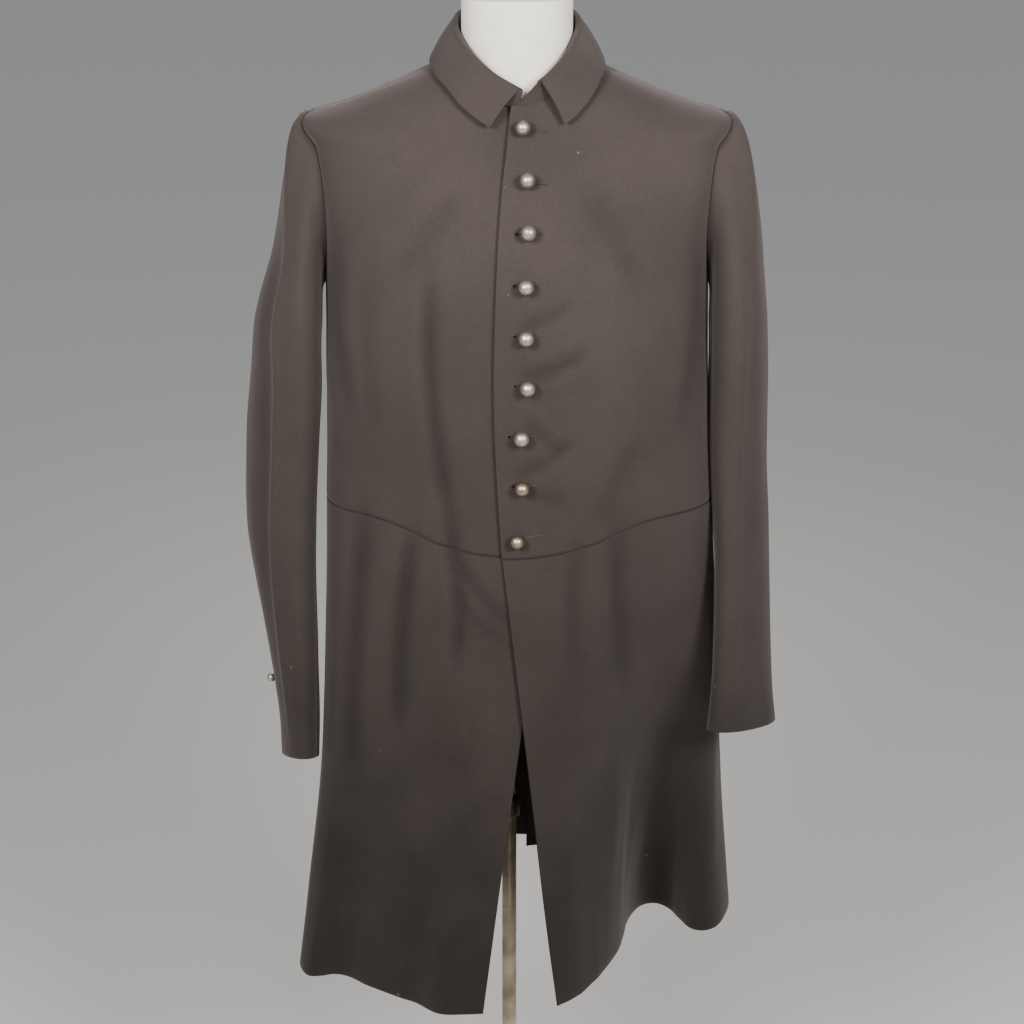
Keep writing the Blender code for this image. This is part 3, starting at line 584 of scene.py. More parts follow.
def sleeve_point(sections, height, around):
    """A point round a sleeve: 0 degrees is the front, 90 outwards."""
    x, y, half_width, half_depth, turn, tilt = read(sections, height)
    out = half_width * math.sin(math.radians(around))
    along = -half_depth * math.cos(math.radians(around))
    sine = math.sin(math.radians(turn))
    cosine = math.cos(math.radians(turn))
    back = along * cosine - out * sine
    return Vector((x + out * cosine + along * sine, y + back, height - tilt * back))


def sleeve_place(sections, turn, down):
    """A point on a sleeve: down is 0 at the armhole, 1 below its cap and 2 at the cuff."""
    around = 90.0 - turn
    upper = max(0.0, math.cos(math.radians(turn)))
    top = mix(UNDERARM_LEVEL, sections[-1][0], upper)
    if down > 1.0:
        return sleeve_point(sections, mix(top, sections[0][0], down - 1), around)
    first = body_point(armhole(turn))
    last = sleeve_point(sections, top, around)
    reach = (last - first).length
    leaving = Vector((1.0, 0.0, 0.22 * upper**2)) * (0.30 + 0.22 * upper) * reach
    arriving = (sleeve_point(sections, top - 0.01, around) - last).normalized() * reach
    return hermite(first, leaving, last, arriving, down)


def collar_path(rows, angle, count, lean):
    """Points from the fall's edge over the roll and down the stand to the neckline.

    The corner at the collar's front end is rounded, and the stand's end leans forwards.
    """
    roll_x, roll_y, roll_z, edge_px, edge_py, edge_pz = read(rows, angle)
    past = angle - rows[0][0]
    key = angle - lean * max(0.0, 1 - past / 45) ** 2, NECK_LEVEL
    base = body_point(key)
    up = (base - body_point((angle, NECK_LEVEL - 0.002))).normalized()
    foot = base + up * 0.0006 - body_normal(key) * 0.0020
    away = Vector((edge_px - roll_x, edge_py - roll_y, 0.0)).normalized()
    centre = Vector((roll_x, roll_y, roll_z - ROLL_RADIUS))
    edge = Vector((edge_px, edge_py, edge_pz))
    upright = Vector((0.0, 0.0, 1.0))
    arc = []
    for i in range(9):
        radians = math.radians(mix(4.0, 180.0, i / 8))
        arc.append(centre + (away * math.cos(radians) + upright * math.sin(radians)) * ROLL_RADIUS)
    facing = (edge - arc[0]).cross(away.cross(upright)).normalized()
    if facing.dot(away) < 0:
        facing = -facing
    missing = max(0.0, CORNER_RADIUS - past * COLLAR_PER_DEGREE)
    cut = CORNER_RADIUS - math.sqrt(CORNER_RADIUS**2 - missing**2)
    path = []
    for i in range(count):
        share = mix(cut / (arc[0] - edge).length, 1.0, i / count)
        belly = facing * 0.0064 * share * (1 - share)
        path.append(edge.lerp(arc[0], share) + belly)
    path += arc
    path += [arc[-1].lerp(foot, (i + 1) / 7) for i in range(7)]
    return path


def fold_offset(folds, across, height):
    """How deep the folds are at a place, each a soft trough with a low ridge beside it."""
    total = 0.0
    for start_x, start_z, end_x, end_z, bow, half_width, depth in folds:
        run_x = end_x - start_x
        run_z = end_z - start_z
        length = math.hypot(run_x, run_z)
        place = ((across - start_x) * run_x + (height - start_z) * run_z) / length**2
        if place < -0.3 or place > 1.3:
            continue
        side = ((across - start_x) * run_z - (height - start_z) * run_x) / length
        side -= bow * 4 * place * (1 - place)
        fade = ease((place + 0.3) / 0.45) * ease((1.3 - place) / 0.45)
        reach = side / half_width
        total += depth * fade * (math.exp(-reach * reach) - 0.45 * math.exp(-(reach - 1.7) ** 2))
    return -total


def fold_shade(point):
    """How much painted shade darkens the cloth down in a fold."""
    depth = -fold_offset(FRONT_FOLDS, point.x, point.z)
    return min(FOLD_SHADE_MOST, FOLD_SHADE * max(0.0, depth))


def fullness(point):
    """How far the wearer's left side stands out between the waist and the hip."""
    level = math.exp(-((point.z - HIP_LEVEL) / HIP_REACH) ** 2)
    return HIP_FULLNESS * level * ease((point.x - 0.11) / 0.08)


def rumple(point, size, stretch, seed):
    """Slow unevenness of worn cloth, longer up and down than across."""
    spot = Vector((point.x / size, point.y / size, point.z / (size * stretch) + seed))
    return noise.noise(spot) + 0.4 * noise.noise(spot * 2.3)


def spread(count, fine=(0.0035, 0.011, 0.025)):
    """Shares from 0 to 1, close together near both ends."""
    middle = [mix(0.05, 0.95, i / (count - 1)) for i in range(count)]
    return [0.0, *fine, *middle, *[1 - s for s in fine[::-1]], 1.0]


def stepped(low, high, per_step, fine=(0.02, 0.06, 0.12)):
    """Steps up a panel, close together near both ends."""
    count = round((high - low) * per_step)
    even = [mix(low, high, i / count) for i in range(1, count)]
    return [low, *[low + s for s in fine], *even, *[high - s for s in fine[::-1]], high]


# Materials

def socket(group, name, kind, incoming, default=None):
    made = group.interface.new_socket(
        name, in_out="INPUT" if incoming else "OUTPUT", socket_type=kind
    )
    if default is not None:
        made.default_value = default


def node(tree, kind, **settings):
    made = tree.nodes.new(kind)
    for name, value in settings.items():
        setattr(made, name, value)
    return made


def noise_node(tree, vector, scale, detail, roughness=0.5):
    made = node(tree, "ShaderNodeTexNoise")
    made.inputs["Scale"].default_value = scale
    made.inputs["Detail"].default_value = detail
    made.inputs["Roughness"].default_value = roughness
    tree.links.new(vector, made.inputs["Vector"])
    return made.outputs["Fac"]


def remap(tree, value, low, high, to_low, to_high):
    made = node(tree, "ShaderNodeMapRange")
    for name, number in (
        ("From Min", low), ("From Max", high), ("To Min", to_low), ("To Max", to_high)
    ):
        made.inputs[name].default_value = number
    tree.links.new(value, made.inputs["Value"])
    return made.outputs["Result"]


def calculate(tree, operation, first, second):
    made = node(tree, "ShaderNodeMath", operation=operation)
    for i, value in enumerate((first, second)):
        if isinstance(value, bpy.types.NodeSocket):
            tree.links.new(value, made.inputs[i])
        else:
            made.inputs[i].default_value = value
    return made.outputs["Value"]


def blend(tree, factor, first, second):
    made = node(tree, "ShaderNodeMix", data_type="RGBA")
    for name, value in (("Factor", factor), ("A", first), ("B", second)):
        made_socket = next(s for s in made.inputs if s.name == name and s.enabled)
        if isinstance(value, bpy.types.NodeSocket):
            tree.links.new(value, made_socket)
        else:
            made_socket.default_value = value
    return next(s for s in made.outputs if s.enabled)


def wool_group():
    """Felted broadcloth: a soft mottle, short fibres, painted shade towards the bottom, along the seams
    and in the folds, and pale lint.
    """
    group = bpy.data.node_groups.new("Felted wool", "ShaderNodeTree")
    socket(group, "Colour", "NodeSocketColor", True, (0.13, 0.10, 0.09, 1.0))
    socket(group, "Shade Colour", "NodeSocketColor", True, (0.05, 0.04, 0.035, 1.0))
    socket(group, "Lint Colour", "NodeSocketColor", True, (0.45, 0.42, 0.38, 1.0))
    socket(group, "Mottle", "NodeSocketFloat", True, 0.5)
    socket(group, "Lint", "NodeSocketFloat", True, 0.5)
    socket(group, "Colour", "NodeSocketColor", False)
    socket(group, "Roughness", "NodeSocketFloat", False)
    socket(group, "Height", "NodeSocketFloat", False)
    enter = node(group, "NodeGroupInput")
    leave = node(group, "NodeGroupOutput")
    place = node(group, "ShaderNodeTexCoord").outputs["Object"]
    split = node(group, "ShaderNodeSeparateXYZ")
    group.links.new(place, split.inputs["Vector"])

    patch = remap(group, noise_node(group, place, 9.0, 4.0), 0.35, 0.65, 0.0, 1.0)
    fibre = noise_node(group, place, 900.0, 3.0, 0.7)
    nap = noise_node(group, place, 160.0, 4.0, 0.65)
    # Painted shade: the cloth is blended towards the shade colour lower down, where less light falls;
    # the mottle adds to it.
    low = remap(group, split.outputs["Z"], 0.50, 1.30, 0.95, 0.0)
    uneven = calculate(group, "MULTIPLY", patch, enter.outputs["Mottle"])
    uneven = calculate(group, "MULTIPLY", uneven, 0.30)
    shade = calculate(group, "ADD", low, uneven)
    colour = blend(group, shade, enter.outputs["Colour"], enter.outputs["Shade Colour"])
    grain = remap(group, fibre, 0.3, 0.7, 0.82, 1.18)
    speckled = node(group, "ShaderNodeMix", data_type="RGBA", blend_type="MULTIPLY")
    speckled.inputs["Factor"].default_value = 1.0
    slots = [s for s in speckled.inputs if s.enabled and s.name in ("A", "B")]
    group.links.new(colour, slots[0])
    group.links.new(grain, slots[1])
    colour = next(s for s in speckled.outputs if s.enabled)

    # Painted shade along the seams and down in the folds, from each piece's seam_shade attribute.
    sewn = node(group, "ShaderNodeAttribute", attribute_name="seam_shade").outputs["Fac"]
    dark = calculate(group, "MULTIPLY", sewn, SEAM_SHADE_STRENGTH)
    colour = blend(group, dark, colour, SEAM_SHADE_COLOUR)

    cells = node(group, "ShaderNodeTexVoronoi")
    cells.inputs["Scale"].default_value = 34.0
    cells.inputs["Randomness"].default_value = 1.0
    group.links.new(place, cells.inputs["Vector"])
    speck = remap(group, cells.outputs["Distance"], 0.018, 0.045, 1.0, 0.0)
    chance = remap(group, noise_node(group, place, 21.0, 1.0), 0.60, 0.64, 0.0, 1.0)
    speck = calculate(group, "MULTIPLY", speck, chance)
    speck = calculate(group, "MULTIPLY", speck, enter.outputs["Lint"])
    colour = blend(group, speck, colour, enter.outputs["Lint Colour"])
    group.links.new(colour, leave.inputs["Colour"])
    group.links.new(remap(group, nap, 0.3, 0.7, 0.86, 0.98), leave.inputs["Roughness"])
    height = calculate(group, "ADD", calculate(group, "MULTIPLY", nap, 0.6), fibre)
    group.links.new(height, leave.inputs["Height"])
    return group


def wear_group():
    """Metal or paint that is darker and duller in uneven patches."""
    group = bpy.data.node_groups.new("Worn surface", "ShaderNodeTree")
    socket(group, "Colour", "NodeSocketColor", True, (0.5, 0.5, 0.5, 1.0))
    socket(group, "Dark Colour", "NodeSocketColor", True, (0.1, 0.1, 0.1, 1.0))
    socket(group, "Wear", "NodeSocketFloat", True, 0.5)
    socket(group, "Smooth", "NodeSocketFloat", True, 0.3)
    socket(group, "Rough", "NodeSocketFloat", True, 0.55)
    socket(group, "Scale", "NodeSocketFloat", True, 120.0)
    socket(group, "Colour", "NodeSocketColor", False)
    socket(group, "Roughness", "NodeSocketFloat", False)
    socket(group, "Height", "NodeSocketFloat", False)
    enter = node(group, "NodeGroupInput")
    leave = node(group, "NodeGroupOutput")
    place = node(group, "ShaderNodeTexCoord").outputs["Object"]
    cloud = node(group, "ShaderNodeTexNoise")
    cloud.inputs["Detail"].default_value = 5.0
    group.links.new(place, cloud.inputs["Vector"])
    group.links.new(enter.outputs["Scale"], cloud.inputs["Scale"])
    mask = remap(group, cloud.outputs["Fac"], 0.38, 0.66, 0.0, 1.0)
    worn = calculate(group, "MULTIPLY", mask, enter.outputs["Wear"])
    colour = blend(group, worn, enter.outputs["Colour"], enter.outputs["Dark Colour"])
    rough = node(group, "ShaderNodeMix", data_type="FLOAT")
    group.links.new(mask, rough.inputs["Factor"])
    group.links.new(enter.outputs["Smooth"], rough.inputs["A"])
    group.links.new(enter.outputs["Rough"], rough.inputs["B"])
    group.links.new(colour, leave.inputs["Colour"])
    group.links.new(rough.outputs["Result"], leave.inputs["Roughness"])
    group.links.new(cloud.outputs["Fac"], leave.inputs["Height"])
    return group


def group_material(name, group_maker, values, bump, distance, principled):
    """A material whose colour, roughness and bump come from a node group."""
    found = bpy.data.materials.get(name)
    if found:
        return found
    made = bpy.data.materials.new(name)
    made.use_nodes = True
    tree = made.node_tree
    shader = tree.nodes["Principled BSDF"]
    for key, value in principled.items():
        shader.inputs[key].default_value = value
    kind = "Felted wool" if group_maker is wool_group else "Worn surface"
    inner = bpy.data.node_groups.get(kind) or group_maker()
    group = node(tree, "ShaderNodeGroup", node_tree=inner)
    for key, value in values.items():
        group.inputs[key].default_value = value
    tree.links.new(group.outputs["Colour"], shader.inputs["Base Color"])
    tree.links.new(group.outputs["Roughness"], shader.inputs["Roughness"])
    raised = node(tree, "ShaderNodeBump")
    raised.inputs["Strength"].default_value = bump
    raised.inputs["Distance"].default_value = distance
    tree.links.new(group.outputs["Height"], raised.inputs["Height"])
    tree.links.new(raised.outputs["Normal"], shader.inputs["Normal"])
    return made


def rgba(colour):
    return (*colour, 1.0)


def wool(colours):
    return group_material(
        "Charcoal wool", wool_group,
        {
            "Colour": rgba(colours.wool),
            "Shade Colour": rgba(colours.wool_shade),
            "Lint Colour": rgba(colours.lint),
            "Mottle": 0.6,
            "Lint": 0.45,
        },
        0.35, 0.0006,
        {"Sheen Weight": 0.16, "Sheen Roughness": 0.45, "Sheen Tint": (1.0, 0.86, 0.86, 1.0),
         "Specular IOR Level": 0.15},
    )


# Near-black cloth for the inner faces of the skirts, tails and sleeves, and for the buttonhole slots.
def lining(colours):
    return group_material(
        "Dark lining", wool_group,
        {
            "Colour": rgba(colours.lining),
            "Shade Colour": rgba(colours.lining),
            "Lint Colour": rgba(colours.lining),
            "Mottle": 0.3,
            "Lint": 0.0,
        },
        0.2, 0.0003,
        {"Specular IOR Level": 0.1},
    )


def worn(name, colour, dark, wear, smooth, rough, scale, metallic, bump=0.1):
    return group_material(
        name, wear_group,
        {
            "Colour": rgba(colour),
            "Dark Colour": rgba(dark),
            "Wear": wear,
            "Smooth": smooth,
            "Rough": rough,
            "Scale": scale,
        },
        bump, 0.0004,
        {"Metallic": metallic},
    )


# Meshes

def keep(shape, name, materials, nodes):
    """Makes an object of a bmesh in the row's frame and ties it to the frame."""
    bmesh.ops.translate(shape, verts=shape.verts[:], vec=(COAT_X, 0.0, 0.0))
    return keep_unmoved(shape, name, materials, nodes)


def keep_unmoved(shape, name, materials, nodes):
    mesh = bpy.data.meshes.new(name)
    shape.to_mesh(mesh)
    shape.free()
    mesh.shade_smooth()
    made = bpy.data.objects.new(name, mesh)
    for one in materials:
        mesh.materials.append(one)
    bpy.context.scene.collection.objects.link(made)
    if nodes:
        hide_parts(*nodes)
    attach(made, "root")
    return made


def seam_dip(sizes, far):
    """A soft dip with a narrow groove in it where two pieces are sewn."""
    soft = max(0.0, 1 - far / sizes.seam_width) ** 2
    groove = max(0.0, 1 - far / GROOVE_WIDTH)
    return sizes.seam_depth * (0.5 * soft + groove)


def cloth(name, nodes, sizes, colours, us, vs, place, raised, seams="", mirrored=False,
          near_black_inner_faces=False, pressed=lambda u, v: 1.0, shaded=lambda point: 0.0):
    """A sheet of cloth: a grid put in place, creased, given its thickness and soft edges.

    seams holds the letters l, r, b and t of the edges that are sewn to a neighbour,
    pressed says how deep the seam and its painted shade are at a place, and shaded how much painted
    shade darkens the cloth.
    """
    shape = bmesh.new()
    shade = shape.verts.layers.float.new("seam_shade")
    bmesh.ops.create_grid(shape, x_segments=len(us) - 1, y_segments=len(vs) - 1, size=1.0)
    shape.verts.ensure_lookup_table()
    across = len(us)
    for i, vert in enumerate(shape.verts):
        point = place(us[i % across], vs[i // across])
        vert.co = Vector((-point.x, point.y, point.z)) if mirrored else point
    if mirrored:
        bmesh.ops.reverse_faces(shape, faces=shape.faces[:])
    shape.normal_update()
    verts = shape.verts[:]
    rows = [verts[k * across:(k + 1) * across] for k in range(len(vs))]
    normals = [[vert.normal.copy() for vert in row] for row in rows]
    bases = [[vert.co.copy() for vert in row] for row in rows]
    for k, row in enumerate(rows):
        for j, vert in enumerate(row):
            far = min(
                (bases[k][j] - bases[k][0]).length if "l" in seams else 1.0,
                (bases[k][j] - bases[k][-1]).length if "r" in seams else 1.0,
                (bases[k][j] - bases[0][j]).length if "b" in seams else 1.0,
                (bases[k][j] - bases[-1][j]).length if "t" in seams else 1.0,
            )
            deep = pressed(us[j], vs[k])
            offset = raised(bases[k][j], us[j], vs[k]) - seam_dip(sizes, far) * deep
            # Painted shade: a dark line along each sewn edge, or the shade down in a fold where that is
            # darker.
            line = deep * max(0.0, 1 - far / SHADE_WIDTH)
            vert[shade] = max(line, shaded(bases[k][j]))
            vert.co = bases[k][j] + normals[k][j] * offset
    sides = {"l": [row[0] for row in rows], "r": [row[-1] for row in rows],
             "b": rows[0], "t": rows[-1]}
    sewn = {vert for letter in seams for vert in sides[letter]}
    outer = set(shape.faces)
    bmesh.ops.solidify(shape, geom=shape.faces[:], thickness=sizes.cloth)
    for face in shape.faces:
        face.material_index = 1 if near_black_inner_faces and face not in outer else 0
    shape.normal_update()
    within = set(verts)
    sewn |= {edge.other_vert(vert) for vert in list(sewn) for edge in vert.link_edges
             if edge.other_vert(vert) not in within}
    rims = [edge for edge in shape.edges
            if not set(edge.verts) <= sewn and edge.calc_face_angle(0.0) > math.radians(55)]
    bmesh.ops.bevel(shape, geom=rims, offset=sizes.edge, segments=2, profile=0.5,
                    affect="EDGES", material=-1, clamp_overlap=True)
    made = keep(shape, name, [wool(colours), lining(colours)], nodes)
    return made


def turned(name, material, nodes, profile, steps):
    """A solid of revolution round Z, from a profile of radius and height."""
    shape = bmesh.new()
    verts = [shape.verts.new((radius, 0.0, height)) for radius, height in profile]
    edges = [shape.edges.new(pair) for pair in zip(verts, verts[1:])]
    bmesh.ops.spin(shape, geom=verts + edges, cent=(0, 0, 0), axis=(0, 0, 1),
                   angle=2 * math.pi, steps=steps, use_merge=True)
    bmesh.ops.remove_doubles(shape, verts=shape.verts[:], dist=1e-6)
    bmesh.ops.recalc_face_normals(shape, faces=shape.faces[:])
    made = keep_unmoved(shape, name, [material], nodes)
    made.data.set_sharp_from_angle(angle=math.radians(42))
    return made


# Properties

class FrockCoatSizes(bpy.types.PropertyGroup):
    cloth: bpy.props.FloatProperty(
        name="Cloth", description="Thickness of the cloth", default=0.0020, unit="LENGTH",
        min=0.001, max=0.003)
    edge: bpy.props.FloatProperty(
        name="Edge", description="Rounding of the cloth's edges", default=0.0006,
        unit="LENGTH", min=0.0002, max=0.001)
    seam_depth: bpy.props.FloatProperty(
        name="Seam depth", description="How deep the cloth dips at a seam", default=0.0009,
        unit="LENGTH", min=0.0, max=0.003)
    seam_width: bpy.props.FloatProperty(
        name="Seam width", description="How far from a seam the dip reaches", default=0.0050,
        unit="LENGTH", min=0.001, max=0.02)
    fold: bpy.props.FloatProperty(
        name="Folds", description="Depth of the folds against the measured ones", default=1.0,
        subtype="FACTOR", min=0.0, max=2.0)
    rumple: bpy.props.FloatProperty(
        name="Unevenness", description="Height of the slow unevenness of worn cloth",
        default=0.0012, unit="LENGTH", min=0.0, max=0.004)
    lip: bpy.props.FloatProperty(
        name="Lip", description="How far the free edge of the left front curls up",
        default=0.0014, unit="LENGTH", min=0.0, max=0.003)
    dimple: bpy.props.FloatProperty(
        name="Dimple", description="How deep each button pulls the cloth in",
        default=0.0012, unit="LENGTH", min=0.0, max=0.003)
    thread: bpy.props.FloatProperty(
        name="Thread", description="Radius of the stitched edge of a buttonhole",
        default=0.0006, unit="LENGTH", min=0.0003, max=0.0015)
    eyelet: bpy.props.FloatProperty(
        name="Eyelet", description="Radius of a buttonhole's round end", default=0.0018,
        unit="LENGTH", min=0.0005, max=0.003)


class FrockCoatColours(bpy.types.PropertyGroup):
    wool: bpy.props.FloatVectorProperty(
        name="Wool", description="Cloth in the light", subtype="COLOR",
        default=(0.0565, 0.0460, 0.0410), min=0.0, max=1.0)
    # Painted shade: the colour that the cloth is blended towards low on the skirts, where less light
    # falls.
    wool_shade: bpy.props.FloatVectorProperty(
        name="Shaded wool", description="Cloth low on the skirts", subtype="COLOR",
        default=(0.0140, 0.0115, 0.0097), min=0.0, max=1.0)
    lint: bpy.props.FloatVectorProperty(
        name="Lint", description="Pale specks on the cloth", subtype="COLOR",
        default=(0.30, 0.27, 0.24), min=0.0, max=1.0)
    lining: bpy.props.FloatVectorProperty(
        name="Inside", description="Inner side of the skirts", subtype="COLOR",
        default=(0.012, 0.010, 0.009), min=0.0, max=1.0)
    thread: bpy.props.FloatVectorProperty(
        name="Thread", description="Stitching of the buttonholes", subtype="COLOR",
        default=(0.052, 0.044, 0.038), min=0.0, max=1.0)
    form: bpy.props.FloatVectorProperty(
        name="Form", description="Dress form", subtype="COLOR",
        default=(0.97, 0.925, 0.84), min=0.0, max=1.0)
    pewter: bpy.props.FloatVectorProperty(
        name="Pewter", description="Metal of the buttons", subtype="COLOR",
        default=(0.62, 0.56, 0.49), min=0.0, max=1.0)
    bronze: bpy.props.FloatVectorProperty(
        name="Bronze", description="Metal of the lowest buttons", subtype="COLOR",
        default=(0.47, 0.38, 0.29), min=0.0, max=1.0)
    pole: bpy.props.FloatVectorProperty(
        name="Pole", description="Lower pole", subtype="COLOR",
        default=(0.46, 0.38, 0.28), min=0.0, max=1.0)
    ring: bpy.props.FloatVectorProperty(
        name="Ring and base", description="Upper pole, ring and base", subtype="COLOR",
        default=(0.13, 0.085, 0.06), min=0.0, max=1.0)
    floor: bpy.props.FloatVectorProperty(
        name="Floor", description="Floor of the stage", subtype="COLOR",
        default=(0.62, 0.61, 0.58), min=0.0, max=1.0)


class PieceOperator(bpy.types.Operator):
    """Adds one piece, or a group of like pieces, from the scene's sizes and colours."""

    bl_idname = "frock_coat.piece"
    bl_label = "Piece"
    bl_options = {"REGISTER", "UNDO"}

    def execute(self, context):
        self.build(context.scene.frock_coat_sizes, context.scene.frock_coat_colours)
        return {"FINISHED"}

    def build(self, sizes, colours):
        raise NotImplementedError("a piece's own operator builds it")


class FrontsOperator(PieceOperator):
    """The two fronts, buttoned left over right"""

    bl_idname = "frock_coat.fronts"
    bl_label = "Fronts"

    def build(self, sizes, colours):
        for name, node_name, under in (
            ("left_front", "front_left", False),
            ("right_front", "front_right", True),
        ):
            def raised(point, u, step, under=under):
                offset = sizes.fold * fold_offset(FRONT_FOLDS + DARTS, point.x, point.z)
                calm = ease((step - 0.2) / 2) * ease((FRONT_TOP - step) / 2) * ease((1 - u) / 0.1)
                offset += sizes.rumple * 0.6 * calm * rumple(point, 0.05, 2.2, 3.0)
                offset += fullness(point)
                if under:
                    return offset
                edge = math.exp(-(u / LIP_SHARE) ** 2) * ease((FRONT_TOP - step) / 3)
                return offset + sizes.lip * edge - self.dimple(sizes, point)

            cloth(
                name, [node_name], sizes, colours, spread(52), stepped(0.0, FRONT_TOP, 5),
                lambda u, step, under=under: front_place(under, u, step),
                raised, "rbt", mirrored=under,
                pressed=lambda u, step: mix(1.0, SOFT_SEAM, ease(step - SEAM_END)),
                shaded=fold_shade,
            )

    def dimple(self, sizes, point):
        """How far the buttons pull the cloth in at a point."""
        total = 0.0
        for x, height, _ in BUTTONS:
            far = math.hypot(point.x - x, point.z - height) / DIMPLE_RADIUS
            if far < 3:
                total += sizes.dimple * math.exp(-far * far)
        return total


class BacksOperator(PieceOperator):
    """The side bodies and the two backs with their tails"""

    bl_idname = "frock_coat.backs"
    bl_label = "Backs"

    def build(self, sizes, colours):
        def soft(point, u, step):
            calm = ease(u / 0.1) * ease((1 - u) / 0.1) if step > 0 else 1.0
            return fullness(point) + sizes.rumple * 0.6 * calm * rumple(point, 0.06, 2.5, 9.0)

        for side, mirrored, hem_rows in (
            ("left", False, TAIL_LEFT),
            ("right", True, TAIL_RIGHT),
        ):
            cloth(
                f"{side}_side_body", [f"side_body_{side}"], sizes, colours,
                spread(26), stepped(0.0, SEAM_END, 7),
                lambda u, step: body_point(side_key(u, step)), soft, "lrbt", mirrored,
            )
            hem = plan_curve(hem_rows)

            def place(u, step, hem=hem):
                if step < 0:
                    return tail_place(hem, u, step)
                return body_point(back_key(u, step))

            cloth(
                f"{side}_back", [f"back_{side}"], sizes, colours,
                spread(34), stepped(-TAIL_STEPS, BACK_TOP, 5), place, soft, "lrt",
                mirrored, near_black_inner_faces=True,
            )


class SkirtsOperator(PieceOperator):
    """The two skirts, from the front edge round to the pleat under the tail"""

    bl_idname = "frock_coat.skirts"
    bl_label = "Skirts"

    def build(self, sizes, colours):
        for side, under, hem_rows in (("left", False, HEM_LEFT), ("right", True, HEM_RIGHT)):
            waist = waist_points(under)
            hem = plan_curve(hem_rows)

            def place(share, drop, waist=waist, hem=hem, under=under):
                return skirt_place(waist, hem, under, share, 1 - drop)

            def raised(point, share, up):
                offset = sizes.fold * fold_offset(FRONT_FOLDS, point.x, point.z)
                loose = ease((1 - up) / 0.25)
                offset += fullness(point)
                return offset + sizes.rumple * 1.4 * loose * rumple(point, 0.045, 4.5, 5.0)

            ups = [mix(0.0, 0.985, i / 60) for i in range(61)] + [0.991, 0.9955, 0.9985, 1.0]
            cloth(
                f"{side}_skirt", [f"skirt_{side}"], sizes, colours,
                spread(110, (0.002, 0.008, 0.025)), ups, place, raised, "t",
                mirrored=under, near_black_inner_faces=True, shaded=fold_shade,
            )


class SleevesOperator(PieceOperator):
    """The upper and under halves of both sleeves"""

    bl_idname = "frock_coat.sleeves"
    bl_label = "Sleeves"

    def build(self, sizes, colours):
        downs = [0.0, 0.006, 0.018, 0.04, 0.075, 0.12]
        downs += [mix(0.17, 1.0, i / 20) for i in range(21)]
        downs += [mix(1.0, 2.0, i / 60) for i in range(1, 61)]
        for side, sections, mirrored in (
            ("left", SLEEVE_LEFT, False),
            ("right", SLEEVE_RIGHT, True),
        ):
            for half, first, last in (
                ("upper", TURN_AT_HIND_SEAM - 360, TURN_AT_SIDE_SEAM),
                ("under", TURN_AT_SIDE_SEAM, TURN_AT_HIND_SEAM),
            ):
                def place(u, down, sections=sections, first=first, last=last):
                    return sleeve_place(sections, mix(first, last, u), down)

                def raised(point, u, down, first=first, last=last, side=side):
                    return self.crease(sizes, side, 90 - mix(first, last, u), down, point)

                node_half = "top" if half == "upper" else "under"
                cloth(
                    f"{side}_{half}_sleeve", [f"{node_half}_sleeve_{side}"], sizes, colours,
                    spread(52), downs, place, raised, "lrb", mirrored, near_black_inner_faces=True,
                    pressed=lambda u, down: mix(SOFT_SEAM, 1.0, ease(down / 0.5)),
                )

    def crease(self, sizes, side, around, down, point):
        """The pressed ridge down the front of the sleeve and its slow unevenness."""
        length = ease((down - 0.5) / 0.5) * ease((2.0 - down) / 0.2)
        if side == "right":
            ridge = 0.0026 * math.exp(-((around - 50) / 6) ** 2)
            trough = 0.0034 * math.exp(-((around - 66) / 13) ** 2)
            elbow = math.exp(-((down - 1.28) / 0.42) ** 2)
            offset = length * (ridge * (0.5 + elbow) - trough * elbow)
        else:
            ridge = 0.0022 * math.exp(-((around - 22) / 9) ** 2)
            trough = 0.0020 * math.exp(-((around - 46) / 14) ** 2)
            offset = length * (ridge - trough)
        calm = ease(down / 0.3)
        return sizes.fold * offset + sizes.rumple * calm * rumple(point, 0.05, 2.5, 7.0)


class CollarOperator(PieceOperator):
    """The turned-down collar with its stand"""

    bl_idname = "frock_coat.collar"
    bl_label = "Collar"

    def build(self, sizes, colours):
        count = 14
        stations = [(COLLAR_RIGHT, angle, -1, 0.0) for angle in self.angles(COLLAR_RIGHT)]
        stations += [
            (COLLAR_LEFT, angle, 1, STAND_LEAN) for angle in self.angles(COLLAR_LEFT)[::-1][1:]
        ]
        paths = []
        for rows, angle, side, lean in stations:
            path = collar_path(rows, angle, count, lean)
            paths.append([Vector((side * p.x, p.y, p.z)) for p in path])
        across = list(range(len(paths[0])))
        along = list(range(len(paths)))
        cloth(
            "collar_leaf", ["collar"], sizes, colours, across, along,
            lambda j, i: paths[i][j],
            lambda point, j, i: sizes.rumple * 0.3 * rumple(point, 0.03, 1.0, 2.0),
        )

    def angles(self, rows):
        first = rows[0][0]
        near = [first + past for past in (0.0, 0.12, 0.35, 0.7, 1.15, 1.7, 2.3)]
        return near + [mix(first + 3.2, 180.0, i / 56) for i in range(57)]


def front_spot(x, height):
    """Point and normal on the front at this x and height."""
    level = height
    for _ in range(20):
        key = front_angle(x, level), level
        level += height - body_point(key).z
    return body_point(key), body_normal(key)


def button_shape(radius, below):
    """A ball on a short shank, its crown at +Z, with the cloth's surface at the origin."""
    shape = bmesh.new()
    middle = Matrix.Translation((0.0, 0.0, BALL_MIDDLE * radius))
    bmesh.ops.create_uvsphere(shape, u_segments=40, v_segments=24, radius=radius, matrix=middle)
    top = SHANK_TOP * radius
    post = Matrix.Translation((0.0, 0.0, (top - below) / 2))
    wide = SHANK_WIDTH * radius
    bmesh.ops.create_cone(shape, cap_ends=True, segments=20, radius1=wide, radius2=wide,
                          depth=top + below, matrix=post)
    return shape


